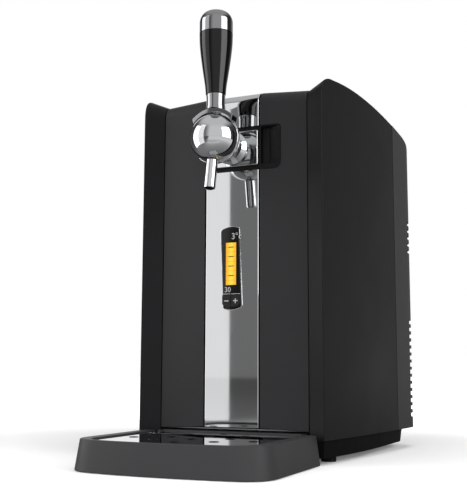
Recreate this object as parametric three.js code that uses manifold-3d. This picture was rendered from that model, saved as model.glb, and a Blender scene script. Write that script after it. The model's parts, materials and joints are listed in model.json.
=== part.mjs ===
// Counter-top beer dispenser for a five litre keg, in millimetres, +Z up, front towards -Y.
// The model is laid out from the middle of the front edges of its two side wings,
// and moved at the end so that the origin lies under the middle of the whole machine.
import * as THREE from 'three';
import { mergeVertices } from 'three/addons/utils/BufferGeometryUtils.js';
import Module from 'manifold-3d';

const wasm = await Module();
wasm.setup();

// Body shells
const frontHalfWidth = 105.7;
const bodyHalfWidth = 137.7;
const bodyDepth = 296;
const rearCornerReach = 40;
const rearFlatHalfWidth = 96;
const coverDepth = 94;
const seamDepth = bodyDepth - coverDepth;
const shellBottom = 24.5;
const bodyWall = 3;
const rearCutReach = 9;
const barrelAcrossShare = 0.68;
const barrelAlongShare = 0.46;
const tailChamfer = 9;

// Top line of the side wings
const wingFrontBreak = 379;
const wingNoseDepth = 30.4;
const wingNoseHeight = 405.7;
const wingCrownDepth = 101.3;
const wingCrownHeight = 413.5;
const wingTailReach = 58;
const wingTailDepth = bodyDepth - wingTailReach;
const wingTailHeight = 393.2;
const wingShoulderHeight = 383;
const wingRearBreak = 334.4;

// Ribbon of front and top cover, set back between the wings
const ribbonFront = 9.7;
const ribbonBottom = 34.5;
const ribbonFrontBreak = 381;
const ribbonNoseRun = 18.7;
const ribbonNoseHeight = 398.9;
const ribbonCrownHeight = 405.3;
const ribbonTailSetback = 7;
const ribbonTailHeight = 385;
const ribbonShoulderHeight = 374;
const panelSlope = 0.0645;
const panelDrop = 0.0525;
const splayOverrunShare = 1.6;

// Hood
const stripHalfWidth = 31.15;
const panelHalfWidth = 85.4;
const panelEdgeGap = 0.8;
const stripThickness = 1.2;
const panelThickness = 3;
const frameThickness = 4;
const frameEdgeSetback = 1.6;
const hoodSeamMargin = 13.5;
const hoodRearDepth = seamDepth - hoodSeamMargin;
const hingeSeamMargin = 8;
const hingeDepth = seamDepth - hingeSeamMargin;
const hingeDropBelowPanel = 5.2;
const hingeBarrelRadius = 5;
const hingePinRadius = 2;
const hingePinInset = 20;
const bracketThickness = 8;
const bracketHalfDepth = 8;
const bracketDrop = 20;
const bracketRise = 4;

// General clearances
const seatGap = 0.3;
const slideGap = 0.6;
const cutOverrun = 2;

// Base
const footHeight = 6.5;
const footRadius = 8;
const footInset = 18;
const skirtFrontInset = 1.5;
const skirtFrontDepth = 6;
const skirtBulgeInset = 17.7;
const skirtBulgeDepth = 86;
const skirtMiddleInset = 15.7;
const skirtMiddleDepth = 160;
const skirtRearInset = 12;
const skirtCornerInset = 13.7;
const skirtCornerLength = 32;
const skirtCornerWidth = 20;
const skirtDraft = 2.5;
const panWall = 3;
const plinthHeight = 6.5;

// Keg chamber
const chamberHalfWidth = 86.4;
const chamberFront = 24;
const coolerSpace = 97;
const chamberRear = bodyDepth - coolerSpace;
const chamberTop = 372;
const linerThickness = 1.2;
const foamFront = 26;

// Cooling unit
const coolingPlateThickness = 3;
const coolingPlateHalfWidth = 60;
const coolingPlateBottom = 60;
const coolingPlateTop = 300;
const rearFoamThickness = 13.4;
const rearFoamHalfWidth = 82;
const peltierHalfSize = 20;
const peltierThickness = 3.8;
const coolerHeight = 180;
const sinkHalfSize = 46;
const sinkBase = 5;
const sinkFinHeight = 21;
const sinkFinThickness = 1.8;
const sinkFinCount = 9;
const fanHalfSize = 40;
const fanThickness = 22;
const fanBoreRadius = 37;
const fanHubRadius = 14;
const fanRotorThickness = 12;
const fanBladeShare = 0.9;
const fanBossThickness = 4;
const fanStrutWidth = 5;
const fanBladeCount = 7;
const fanBladeThickness = 1.6;
const fanBladePitch = THREE.MathUtils.degToRad(28);
const fanTipGap = 1.5;

// Rear cover details
const slotPitch = 8.9;
const slotHeight = 5.2;
const lowerSlotCount = 14;
const upperSlotCount = 5;
const grilleSlotCount = 9;
const lowerSlotsBottom = 36.9;
const upperSlotsBottom = 243.4;
const slotSeamMargin = 52;
const slotRearHalfWidth = 66;
const grilleHalfWidth = 40;
const inletHalfWidth = 15;
const inletHeight = 22;
const inletBottom = 70;
const inletDepth = 24;
const inletPocketDepth = 15;
const inletPocketWall = 3.5;
const inletPinRadius = 1.2;
const inletPinSpacing = 7;
const screwHeadRadius = 3.5;
const screwHeadHeight = 1.5;
const screwShaftRadius = 1.6;
const screwLength = 12;
const screwBossRadius = 5;
const screwAcross = 57;
const screwHeights = [60, 308];
const supplyHalfWidth = 45;
const supplyDepth = 48;
const supplyHeight = 20;
const supplyRearGap = 18.5;

// Tap
const tapHeight = 335.4;
const ballRadius = 26.7;
const ballReach = 46;
const ballStepBack = 0.7;
const ballPartingSetback = 2;
const shankFlareRadius = 18.4;
const shankWaistRadius = 11.4;
const shankWaistShare = 0.55;
const shankSwellShares = [[0.68, 1.08], [0.84, 1.26], [0.95, 1.42]];
const inletBoreRadius = 3.6;
const spoutRadius = 6.25;
const spoutWall = 1.4;
const spoutLength = 30;
const spoutTilt = THREE.MathUtils.degToRad(5);
const yokeThickness = 4.5;
const yokeHalfDepth = 6.5;
const yokeInnerEnd = THREE.MathUtils.degToRad(37);
const yokeOuterEnd = THREE.MathUtils.degToRad(43);
const handleSetback = 2.4;
const neckRadius = 10.3;
const neckLength = 15.8;
const neckSkirt = 2.6;
const gripBottomRadius = 10.7;
const gripTopRadius = 18;
const gripLength = 66.7;
const gripSwellShares = [[0.15, 0.13], [0.3, 0.34], [0.5, 0.61], [0.7, 0.84], [0.85, 0.96]];
const capRadius = 18;
const capHeight = 26;
const capDomeHeight = 14;
const capDomePower = 0.7;
const handleRodRadius = 3;
const inletTubeLength = 18;
const inletTubeRadius = 5;

// Bezel round the tap's base plate, with a finger grip to its right
const bezelReach = 56.2;
const bezelBelowTap = 25.6;
const bezelAboveTap = 22.8;
const bezelBottom = tapHeight - bezelBelowTap;
const bezelTop = tapHeight + bezelAboveTap;
const bezelLowerCorner = 9;
const bezelUpperCorner = 5;
const bezelSetback = 2.3;
const bezelDepth = 15;
const pocketStart = 33;
const pocketFloorEnd = 41.4;
const pocketMouthEnd = 54.6;
const pocketBottomMargin = 6.2;
const pocketTopMargin = 0.9;
const pocketDepth = 6.5;
const basePlateBottomBand = 4.8;
const basePlateTopBand = 4.7;
const basePlateProud = 1.8;
const basePlateThickness = 3.6;

// Display and keys
const displayHalfWidth = 12;
const displayBottom = 158.6;
const displayTop = 247.8;
const displayArch = 3;
const displayProud = 1.8;
const keyHalfWidth = 4.3;
const keyHeight = 9;
const keySpacing = 5.3;
const keyCentreHeight = 167.7;
const keyProud = 0.5;
const keyTravel = 0.6;
const boardHalfWidth = 22;
const boardBottom = 152;
const boardTop = 254;
const boardThickness = 1.6;

// Drip tray
const trayHeight = 30;
const trayLift = 0.6;
const trayTopHalfWidth = 97.7;
const trayDraft = 4.2;
const trayReach = 154.5;
const trayBow = 10.1;
const trayCorner = 26;
const trayTongueHalfWidth = 82;
const trayTongueDepth = 26;
const trayFloor = 3;
const trayLedge = 4;
const plateHalfWidth = 84.9;
const plateThickness = 1.2;
const plateRecess = 1.4;
const frontRim = 1.8;
const plateHoodGap = 0.7;
const tongueRim = 3;
const holeRadius = 4.5;
const holePitch = 36.8;
const holeRearOffset = 9;
const holeColumns = [[0, 4, 0], [1, 3, 0.5], [2, 2, 1]];

// Segment counts
const arcSteps = 6;
const crownSteps = 7;
const roundSides = 24;
const smallSides = 12;
const ballSides = 32;
const sideSteps = 8;
const leastMitreShare = 0.3;
const weldDistance = 1e-4;
const holeSides = 12;

const v2 = (x, y) => new THREE.Vector2(x, y);

function finish(name, roughness, metalness, colour) {
  return new THREE.MeshStandardMaterial({ name, roughness, metalness, color: colour });
}

const darkPlastic = finish('dark plastic', 0.55, 0, 0x35363a);
const coverPlastic = finish('rear cover plastic', 0.6, 0, 0x47484b);
const basePlastic = finish('base plastic', 0.65, 0, 0x1f2023);
const blackPlastic = finish('black plastic', 0.4, 0, 0x101012);
const glossBlack = finish('gloss black', 0.12, 0, 0x0a0a0b);
const chrome = finish('chrome', 0.08, 1, 0xd8d9db);
const steel = finish('polished steel', 0.15, 1, 0xb9babd);
const aluminium = finish('aluminium', 0.4, 1, 0xa8abae);
const rubber = finish('rubber', 0.85, 0, 0x151515);
const foam = finish('foam', 0.9, 0, 0xe8e6e0);
const linerPlastic = finish('liner plastic', 0.5, 0, 0x9a9da1);
const board = finish('circuit board', 0.6, 0, 0x1d4a2c);
const ceramic = finish('ceramic', 0.7, 0, 0xe6e3dc);

// Solids from three.js geometry, and back
function solidOf(geometry) {
  const bare = geometry.clone();
  bare.deleteAttribute('normal');
  bare.deleteAttribute('uv');
  const merged = mergeVertices(bare, weldDistance);
  const triVerts = new Uint32Array(merged.index.array);
  const vertProperties = new Float32Array(merged.attributes.position.array);
  return new wasm.Manifold(new wasm.Mesh({ numProp: 3, vertProperties, triVerts }));
}

function geometryOf(solid) {
  const mesh = solid.getMesh();
  const geometry = new THREE.BufferGeometry();
  geometry.setAttribute('position', new THREE.BufferAttribute(mesh.vertProperties, 3));
  geometry.setIndex(new THREE.BufferAttribute(mesh.triVerts, 1));
  geometry.computeVertexNormals();
  return geometry;
}

function join(...solids) {
  return solids.reduce((whole, next) => whole.add(next));
}

function box(x0, x1, y0, y1, z0, z1) {
  const geometry = new THREE.BoxGeometry(x1 - x0, y1 - y0, z1 - z0);
  geometry.translate((x0 + x1) / 2, (y0 + y1) / 2, (z0 + z1) / 2);
  return solidOf(geometry);
}

function extrude(points, depth, holes = []) {
  const shape = new THREE.Shape(points);
  shape.holes = holes.map((hole) => new THREE.Path(hole));
  return new THREE.ExtrudeGeometry(shape, { depth, bevelEnabled: false });
}

// A plan outline (x, y) standing from z0 to z1
function prismZ(points, z0, z1) {
  const geometry = extrude(points, z1 - z0);
  geometry.translate(0, 0, z0);
  return solidOf(geometry);
}

// A side outline (y, z) running from x0 to x1
function prismX(points, x0, x1) {
  const geometry = extrude(points, x1 - x0);
  const turn = new THREE.Matrix4().makeBasis(
    new THREE.Vector3(0, 1, 0), new THREE.Vector3(0, 0, 1), new THREE.Vector3(1, 0, 0));
  geometry.applyMatrix4(turn);
  geometry.translate(x0, 0, 0);
  return solidOf(geometry);
}

// A front outline (x, z) running from y0 back to y1
function prismY(points, y0, y1) {
  const geometry = extrude(points, y1 - y0);
  geometry.rotateX(Math.PI / 2);
  geometry.translate(0, y1, 0);
  return solidOf(geometry);
}

function rod(axis, radius, from, to, a, b, sides = roundSides, endRadius = radius) {
  const geometry = new THREE.CylinderGeometry(endRadius, radius, to - from, sides);
  const middle = (from + to) / 2;
  if (axis === 'x') {
    geometry.rotateZ(-Math.PI / 2);
    geometry.translate(middle, a, b);
  } else if (axis === 'y') {
    geometry.translate(a, middle, b);
  } else {
    geometry.rotateX(Math.PI / 2);
    geometry.translate(a, b, middle);
  }
  return solidOf(geometry);
}

function ball(radius, x, y, z) {
  const geometry = new THREE.SphereGeometry(radius, ballSides, ballSides / 2);
  geometry.translate(x, y, z);
  return solidOf(geometry);
}

// Turned shapes: profile points are (radius, distance along the axis)
function turnedAlongY(profile, x, y, z, sides = roundSides) {
  const geometry = new THREE.LatheGeometry(profile, sides);
  geometry.translate(x, y, z);
  return solidOf(geometry);
}

function turnedAlongZ(profile, x, y, z, sides = roundSides) {
  const geometry = new THREE.LatheGeometry(profile, sides);
  geometry.rotateX(Math.PI / 2);
  geometry.translate(x, y, z);
  return solidOf(geometry);
}

// A closed skin through rings of equally many points, with flat convex ends
function loft(rings) {
  const count = rings[0].length;
  const places = rings.flat();
  const triangles = [];
  for (let ring = 0; ring + 1 < rings.length; ring += 1) {
    for (let i = 0; i < count; i += 1) {
      const a = ring * count + i;
      const b = ring * count + ((i + 1) % count);
      triangles.push([a, b, b + count], [a, b + count, a + count]);
    }
  }
  const last = (rings.length - 1) * count;
  for (let i = 1; i + 1 < count; i += 1) {
    triangles.push([0, i + 1, i], [last, last + i, last + i + 1]);
  }
  const volume = triangles.reduce((sum, [a, b, c]) => sum
    + places[a].dot(new THREE.Vector3().crossVectors(places[b], places[c])), 0);
  const facing = volume > 0 ? triangles : triangles.map(([a, b, c]) => [a, c, b]);
  const geometry = new THREE.BufferGeometry().setFromPoints(places);
  geometry.setIndex(facing.flat());
  return solidOf(geometry);
}

// Curves and outlines
function bend(start, control, end, steps) {
  return new THREE.QuadraticBezierCurve(start, control, end).getPoints(steps);
}

// Moves each point of a line to its right by a distance; a closed line joins its ends
function offsetLine(points, distance, closed) {
  const count = points.length;
  return points.map((point, i) => {
    const before = closed ? points[(i + count - 1) % count] : points[Math.max(i - 1, 0)];
    const after = closed ? points[(i + 1) % count] : points[Math.min(i + 1, count - 1)];
    const coming = point.clone().sub(before);
    const going = after.clone().sub(point);
    const first = (coming.lengthSq() > 0 ? coming : going).clone().normalize();
    const second = (going.lengthSq() > 0 ? going : coming).clone().normalize();
    const side = v2(first.y + second.y, -first.x - second.x).normalize();
    const stretch = Math.max(side.dot(v2(first.y, -first.x)), leastMitreShare);
    return point.clone().addScaledVector(side, distance / stretch);
  });
}

function mirrored(points) {
  return points.map((point) => v2(-point.x, point.y)).reverse();
}

// Plan of the body, anticlockwise: barrel-shaped sides and rounded rear corners
function bodyPlan(inset) {
  const cornerDepth = bodyDepth - rearCornerReach;
  const side = bend(
    v2(frontHalfWidth, 0),
    v2(frontHalfWidth + (bodyHalfWidth - frontHalfWidth) * barrelAcrossShare,
      cornerDepth * barrelAlongShare),
    v2(bodyHalfWidth, cornerDepth), sideSteps);
  const corner = bend(v2(bodyHalfWidth, cornerDepth), v2(bodyHalfWidth, bodyDepth),
    v2(rearFlatHalfWidth, bodyDepth), arcSteps).slice(1);
  const right = [...side, ...corner];
  return offsetLine([...right, ...mirrored(right)], -inset, true);
}

// Side view of the wings' top line, from the front foot over the top to the rear foot
function wingLine(bottom) {
  return [
    v2(0, bottom),
    ...bend(v2(0, wingFrontBreak), v2(0, wingNoseHeight), v2(wingNoseDepth, wingNoseHeight), arcSteps),
    ...bend(v2(wingNoseDepth, wingNoseHeight), v2(wingCrownDepth, wingCrownHeight),
      v2(wingTailDepth, wingTailHeight), crownSteps).slice(1),
    ...bend(v2(wingTailDepth, wingTailHeight), v2(bodyDepth, wingShoulderHeight),
      v2(bodyDepth, wingRearBreak), arcSteps).slice(1),
  ];
}

// Side view of the ribbon's middle, with a point for each point of the wing line
function ribbonLine(bottom) {
  const nose = ribbonFront + ribbonNoseRun;
  const tail = wingTailDepth - ribbonTailSetback;
  return [
    v2(ribbonFront, bottom),
    ...bend(v2(ribbonFront, ribbonFrontBreak), v2(ribbonFront, ribbonNoseHeight),
      v2(nose, ribbonNoseHeight), arcSteps),
    ...bend(v2(nose, ribbonNoseHeight), v2(wingCrownDepth, ribbonCrownHeight),
      v2(tail, ribbonTailHeight), crownSteps).slice(1),
    ...bend(v2(tail, ribbonTailHeight), v2(bodyDepth, ribbonShoulderHeight),
      v2(bodyDepth, wingRearBreak), arcSteps).slice(1),
  ];
}

// How far the ribbon has fallen back at a distance from the middle
function fallBack(x) {
  const beyond = Math.max(Math.abs(x) - stripHalfWidth, 0);
  return v2(beyond * panelSlope, -beyond * panelDrop);
}

const channelHalfWidth = panelHalfWidth + panelEdgeGap;

function sideHalfWidth(depth) {
  const plan = bodyPlan(0);
  const next = plan.findIndex((point, i) => i > 0 && point.y >= depth);
  const a = plan[next - 1];
  const b = plan[next];
  return THREE.MathUtils.mapLinear(depth, a.y, b.y, a.x, b.x);
}

// The splayed channel between the wings that holds the ribbon, cut deeper by an inset
function channel(inset) {
  const ridge = wingLine(shellBottom - cutOverrun);
  const floor = ribbonLine(shellBottom - cutOverrun);
  const deepRidge = offsetLine(ridge, inset, false);
  const deepFloor = offsetLine(floor, inset, false);
  const rings = ridge.map((point, i) => {
    const across = sideHalfWidth(point.x);
    const fade = 1 - THREE.MathUtils.smoothstep(point.x, seamDepth, bodyDepth);
    const edge = deepFloor[i].clone().addScaledVector(fallBack(channelHalfWidth), fade);
    const inner = new THREE.Vector3(channelHalfWidth, edge.x, edge.y);
    const outer = new THREE.Vector3(across, deepRidge[i].x, deepRidge[i].y);
    const beyond = inner.clone().lerp(outer, splayOverrunShare);
    const flip = (p) => new THREE.Vector3(-p.x, p.y, p.z);
    return [beyond, flip(beyond), flip(inner), inner];
  });
  return loft(rings);
}

// The body as a full block, shrunk by an inset, with the channel cut out of it
function bodyBlock(inset, bottom) {
  const plan = prismZ(bodyPlan(inset), bottom, wingCrownHeight + cutOverrun);
  const line = offsetLine(wingLine(bottom), inset, false);
  const outline = [...line, v2(bodyDepth - inset, bottom)];
  const first = outline[0];
  outline[0] = v2(first.x, bottom);
  const side = prismX(outline.reverse(), -bodyHalfWidth - cutOverrun, bodyHalfWidth + cutOverrun);
  return plan.intersect(side).subtract(channel(inset));
}

function tailCut() {
  const over = cutOverrun;
  return prismX([
    v2(bodyDepth - tailChamfer, shellBottom - over),
    v2(bodyDepth + over, shellBottom - over),
    v2(bodyDepth + over, shellBottom + tailChamfer + over),
    v2(bodyDepth, shellBottom + tailChamfer),
    v2(bodyDepth - tailChamfer, shellBottom),
  ], -bodyHalfWidth, bodyHalfWidth);
}

const bodyShell = bodyBlock(0, shellBottom)
  .subtract(bodyBlock(bodyWall, shellBottom - cutOverrun))
  .subtract(tailCut());

function sideShell(side) {
  const x0 = side > 0 ? channelHalfWidth : -bodyHalfWidth - cutOverrun;
  const x1 = side > 0 ? bodyHalfWidth + cutOverrun : -channelHalfWidth;
  const half = box(x0, x1, -cutOverrun, seamDepth - seatGap,
    shellBottom - cutOverrun, wingCrownHeight + cutOverrun);
  return bodyShell.intersect(half);
}

// Rear cover with its vent slots, inlet mouth and screw bosses
const slotFrontDepth = seamDepth + slotSeamMargin;

function ventSlots(bottom, count) {
  const cuts = [];
  for (let i = 0; i < count; i += 1) {
    const z = bottom + i * slotPitch;
    cuts.push(box(slotRearHalfWidth, bodyHalfWidth + cutOverrun,
      slotFrontDepth, bodyDepth + cutOverrun, z, z + slotHeight));
    cuts.push(box(-bodyHalfWidth - cutOverrun, -slotRearHalfWidth,
      slotFrontDepth, bodyDepth + cutOverrun, z, z + slotHeight));
  }
  return join(...cuts);
}

function grille() {
  const cuts = [];
  const span = (grilleSlotCount - 1) * slotPitch + slotHeight;
  for (let i = 0; i < grilleSlotCount; i += 1) {
    const z = coolerHeight - span / 2 + i * slotPitch;
    cuts.push(box(-grilleHalfWidth, grilleHalfWidth, bodyDepth - rearCutReach,
      bodyDepth + cutOverrun, z, z + slotHeight));
  }
  return join(...cuts);
}

const screwPlaces = screwHeights.flatMap((z) => [v2(screwAcross, z), v2(-screwAcross, z)]);
const inletMiddle = inletBottom + inletHeight / 2;
const coverFront = seamDepth + seatGap;
const screwSeat = bodyDepth - screwHeadHeight - seatGap;

function rearCover() {
  const region = box(-bodyHalfWidth - cutOverrun, bodyHalfWidth + cutOverrun, coverFront,
    bodyDepth + cutOverrun, shellBottom - cutOverrun, wingCrownHeight + cutOverrun);
  const bosses = screwPlaces.map((p) => rod('y', screwBossRadius, bodyDepth - screwLength,
    bodyDepth - bodyWall / 2, p.x, p.y, smallSides));
  const holes = screwPlaces.map((p) => join(
    rod('y', screwShaftRadius + seatGap, bodyDepth - screwLength - cutOverrun,
      bodyDepth + cutOverrun, p.x, p.y, smallSides),
    rod('y', screwHeadRadius + seatGap, screwSeat, bodyDepth + cutOverrun, p.x, p.y, smallSides)));
  const inletMouth = box(-inletHalfWidth - seatGap, inletHalfWidth + seatGap,
    bodyDepth - rearCutReach, bodyDepth + cutOverrun,
    inletBottom - seatGap, inletBottom + inletHeight + seatGap);
  return join(bodyShell.intersect(region), ...bosses)
    .subtract(join(...holes))
    .subtract(ventSlots(lowerSlotsBottom, lowerSlotCount))
    .subtract(ventSlots(upperSlotsBottom, upperSlotCount))
    .subtract(grille())
    .subtract(inletMouth);
}

function coverScrew(p) {
  return join(
    rod('y', screwHeadRadius, screwSeat + seatGap, bodyDepth, p.x, p.y, smallSides),
    rod('y', screwShaftRadius, bodyDepth - screwLength + seatGap, bodyDepth - seatGap,
      p.x, p.y, smallSides));
}

// Mains inlet: an open socket with two pins
function inletSocket() {
  const outer = box(-inletHalfWidth, inletHalfWidth, bodyDepth - inletDepth, bodyDepth,
    inletBottom, inletBottom + inletHeight);
  const pocket = box(-inletHalfWidth + inletPocketWall, inletHalfWidth - inletPocketWall,
    bodyDepth - inletPocketDepth, bodyDepth + cutOverrun,
    inletBottom + inletPocketWall, inletBottom + inletHeight - inletPocketWall);
  const pins = [-1, 1].map((side) => rod('y', inletPinRadius,
    bodyDepth - inletPocketDepth - cutOverrun, bodyDepth - cutOverrun,
    side * inletPinSpacing / 2, inletMiddle, smallSides));
  return join(outer.subtract(pocket), ...pins);
}

// Base pan, standing on rubber feet, with a plinth that locates the shells
const skirtFrontHalfWidth = frontHalfWidth - skirtFrontInset;
const skirtBulge = bodyHalfWidth - skirtBulgeInset;
const skirtMiddle = bodyHalfWidth - skirtMiddleInset;
const skirtCorner = bodyHalfWidth - skirtCornerInset;
const skirtRearDepth = bodyDepth - skirtRearInset;
const skirtRearHalfWidth = skirtCorner - skirtCornerWidth;

function skirtPlan(inset) {
  const side = bend(v2(skirtFrontHalfWidth, skirtFrontDepth), v2(skirtBulge, skirtBulgeDepth),
    v2(skirtMiddle, skirtMiddleDepth), arcSteps);
  const rear = bend(v2(skirtCorner, skirtRearDepth - skirtCornerLength),
    v2(skirtCorner, skirtRearDepth), v2(skirtRearHalfWidth, skirtRearDepth), arcSteps);
  const right = [...side, ...rear];
  return offsetLine([...right, ...mirrored(right)], -inset, true);
}

const plinthTop = shellBottom + plinthHeight;
const bayHalfWidth = trayTongueHalfWidth + slideGap;
const bayRear = trayTongueDepth + slideGap;

function basePan() {
  const skirt = loft([ringAt(skirtPlan(skirtDraft), footHeight),
    ringAt(skirtPlan(0), shellBottom - seatGap)]);
  const plinth = bodyBlock(bodyWall + seatGap, shellBottom - cutOverrun / 2)
    .intersect(box(-bodyHalfWidth, bodyHalfWidth, 0, bodyDepth,
      shellBottom - 2 * seatGap, plinthTop))
    .subtract(box(-bodyHalfWidth, bodyHalfWidth, bodyDepth - tailChamfer - bodyWall, bodyDepth,
      0, shellBottom + tailChamfer));
  const hollow = prismZ(skirtPlan(skirtDraft + panWall), footHeight + panWall, plinthTop + cutOverrun)
    .subtract(box(-bayHalfWidth - panWall, bayHalfWidth + panWall, 0, bayRear + panWall,
      0, plinthTop + cutOverrun));
  const bay = box(-bayHalfWidth, bayHalfWidth, -cutOverrun, bayRear, 0, plinthTop + cutOverrun);
  return join(skirt, plinth).subtract(hollow).subtract(bay);
}

const frontFoot = v2(skirtBulge - footInset - footRadius, skirtFrontDepth + bayRear + footInset);
const rearFoot = v2(skirtRearHalfWidth - footInset, skirtRearDepth - footInset - footRadius);

function rubberFoot(spot, side) {
  return rod('z', footRadius, 0, footHeight - seatGap, side * spot.x, spot.y);
}

// Keg chamber
const chamberFloor = plinthTop + seatGap;

function chamberLiner() {
  const outer = box(-chamberHalfWidth, chamberHalfWidth, chamberFront, chamberRear,
    chamberFloor, chamberTop);
  const inner = box(-chamberHalfWidth + linerThickness, chamberHalfWidth - linerThickness,
    chamberFront - cutOverrun, chamberRear - linerThickness,
    chamberFloor + linerThickness, chamberTop + cutOverrun);
  return outer.subtract(inner);
}

// Hood hinge: the pins lie under the panels' edge, in steel brackets beside the chamber
const panelEdgeFall = fallBack(panelHalfWidth);

function ribbonHeightAt(depth) {
  const line = ribbonLine(ribbonBottom);
  const next = line.findIndex((point, i) => i > arcSteps && point.x >= depth);
  const a = line[next - 1];
  const b = line[next];
  return THREE.MathUtils.mapLinear(depth, a.x, b.x, a.y, b.y);
}

const hingeHeight = ribbonHeightAt(hingeDepth) + panelEdgeFall.y - hingeDropBelowPanel;
const frameHalfWidth = panelHalfWidth - frameEdgeSetback;
const bracketInner = chamberHalfWidth + seatGap;
const bracketOuter = bracketInner + bracketThickness;

function bracketBox(side, grow) {
  const x0 = bracketInner - grow;
  const x1 = bracketOuter + grow;
  return box(side > 0 ? x0 : -x1, side > 0 ? x1 : -x0,
    hingeDepth - bracketHalfDepth - grow, hingeDepth + bracketHalfDepth / 2 + grow,
    hingeHeight - bracketDrop - grow, hingeHeight + bracketRise + grow);
}

function hingeBracket(side) {
  const hole = rod('x', hingePinRadius + seatGap, -bracketOuter - cutOverrun,
    bracketOuter + cutOverrun, hingeDepth, hingeHeight, smallSides);
  const skin = bodyBlock(bodyWall + seatGap, shellBottom - cutOverrun);
  return bracketBox(side, 0).intersect(skin).subtract(hole);
}

function hingePin(side) {
  const inner = frameHalfWidth - hingePinInset + seatGap;
  const outer = bracketOuter - seatGap;
  return rod('x', hingePinRadius, side > 0 ? inner : -outer, side > 0 ? outer : -inner,
    hingeDepth, hingeHeight, smallSides);
}

function foamBlock(side) {
  const x0 = chamberHalfWidth + seatGap;
  const x1 = bodyHalfWidth;
  const block = bodyBlock(bodyWall + seatGap, shellBottom - cutOverrun)
    .intersect(box(side > 0 ? x0 : -x1, side > 0 ? x1 : -x0, foamFront, seamDepth - cutOverrun,
      plinthTop + seatGap, chamberTop + bracketDrop));
  return block.subtract(bracketBox(side, seatGap));
}

// Cooling unit behind the chamber
const coolPlateFront = chamberRear + seatGap;
const coolPlateRear = coolPlateFront + coolingPlateThickness;
const coldFront = coolPlateRear + seatGap;
const coldRear = coldFront + rearFoamThickness;
const peltierFront = coldRear + seatGap;
const peltierRear = peltierFront + peltierThickness;
const sinkFront = peltierRear + seatGap;
const sinkRear = sinkFront + sinkBase + sinkFinHeight;
const fanFront = sinkRear + seatGap;
const fanRear = fanFront + fanThickness;

function squareBlock(half, y0, y1) {
  return box(-half, half, y0, y1, coolerHeight - half, coolerHeight + half);
}

function rearFoam() {
  return box(-rearFoamHalfWidth, rearFoamHalfWidth, coldFront, coldRear, chamberFloor, chamberTop)
    .subtract(squareBlock(peltierHalfSize + seatGap, coldFront - cutOverrun, coldRear + cutOverrun));
}

function heatSink() {
  const plate = squareBlock(sinkHalfSize, sinkFront, sinkFront + sinkBase);
  const pitch = (2 * sinkHalfSize - sinkFinThickness) / (sinkFinCount - 1);
  const fins = [];
  for (let i = 0; i < sinkFinCount; i += 1) {
    const x = -sinkHalfSize + i * pitch;
    fins.push(box(x, x + sinkFinThickness, sinkFront + sinkBase / 2, sinkRear,
      coolerHeight - sinkHalfSize, coolerHeight + sinkHalfSize));
  }
  return join(plate, ...fins);
}

function fanHousing() {
  const bore = rod('y', fanBoreRadius, fanFront - cutOverrun, fanRear + cutOverrun, 0, coolerHeight);
  const strutFront = fanRear - fanBossThickness;
  const struts = [0, 1].map((i) => {
    const long = fanBoreRadius + cutOverrun;
    const half = fanStrutWidth / 2;
    return i === 0
      ? box(-long, long, strutFront, fanRear, coolerHeight - half, coolerHeight + half)
      : box(-half, half, strutFront, fanRear, coolerHeight - long, coolerHeight + long);
  });
  return join(squareBlock(fanHalfSize, fanFront, fanRear).subtract(bore), ...struts,
    rod('y', fanHubRadius, strutFront, fanRear, 0, coolerHeight));
}

function fanRotor() {
  const rear = fanRear - fanBossThickness - seatGap;
  const front = rear - fanRotorThickness;
  const middle = (front + rear) / 2;
  const parts = [rod('y', fanHubRadius, front, rear, 0, coolerHeight)];
  const blade = new THREE.BoxGeometry(fanBladeThickness, fanRotorThickness * fanBladeShare,
    fanBoreRadius - fanTipGap - fanHubRadius / 2);
  blade.translate(0, 0, (fanBoreRadius - fanTipGap + fanHubRadius / 2) / 2);
  for (let i = 0; i < fanBladeCount; i += 1) {
    const turned = blade.clone();
    turned.applyMatrix4(new THREE.Matrix4().makeRotationZ(fanBladePitch));
    turned.rotateY(2 * Math.PI * i / fanBladeCount);
    turned.translate(0, middle, coolerHeight);
    parts.push(solidOf(turned));
  }
  const swept = rod('y', fanBoreRadius - fanTipGap, front, rear, 0, coolerHeight);
  return join(...parts).intersect(swept);
}

function powerSupply() {
  const bottom = footHeight + panWall + seatGap;
  const rear = skirtRearDepth - skirtDraft - panWall - supplyRearGap;
  return box(-supplyHalfWidth, supplyHalfWidth, rear - supplyDepth, rear,
    bottom, bottom + supplyHeight);
}

function frontOf(depth) {
  return box(-bodyHalfWidth, bodyHalfWidth, -bodyDepth, depth, 0, wingCrownHeight);
}

// Bands that follow the ribbon between two depths under its face, cut off at the hood's rear
function ribbonBand(near, far, x0, x1, rearEnd, bottom) {
  const line = ribbonLine(ribbonBottom);
  const outer = offsetLine(line, near, false);
  const inner = offsetLine(line, far, false);
  outer[0].y = bottom;
  inner[0].y = bottom;
  const band = prismX([...outer, ...inner.reverse()].reverse(), x0, x1);
  return band.intersect(frontOf(rearEnd));
}

// One half of a band beside the strip, fallen back towards its outer edge
function slopedBand(side, near, far, edge, rearEnd, bottom) {
  const start = stripHalfWidth + (near > 0 ? 0 : seatGap);
  const straight = ribbonBand(near, far, start, edge, bodyDepth - rearCornerReach, bottom);
  const lean = new THREE.Matrix4().set(
    1, 0, 0, 0,
    panelSlope, 1, 0, -panelSlope * stripHalfWidth,
    -panelDrop, 0, 1, panelDrop * stripHalfWidth,
    0, 0, 0, 1);
  const geometry = geometryOf(straight).applyMatrix4(lean);
  const leaned = solidOf(geometry).intersect(frontOf(rearEnd));
  return side > 0 ? leaned : leaned.mirror([1, 0, 0]);
}

const bezelFront = ribbonFront + bezelSetback;
const bezelRear = bezelFront + bezelDepth;

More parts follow.
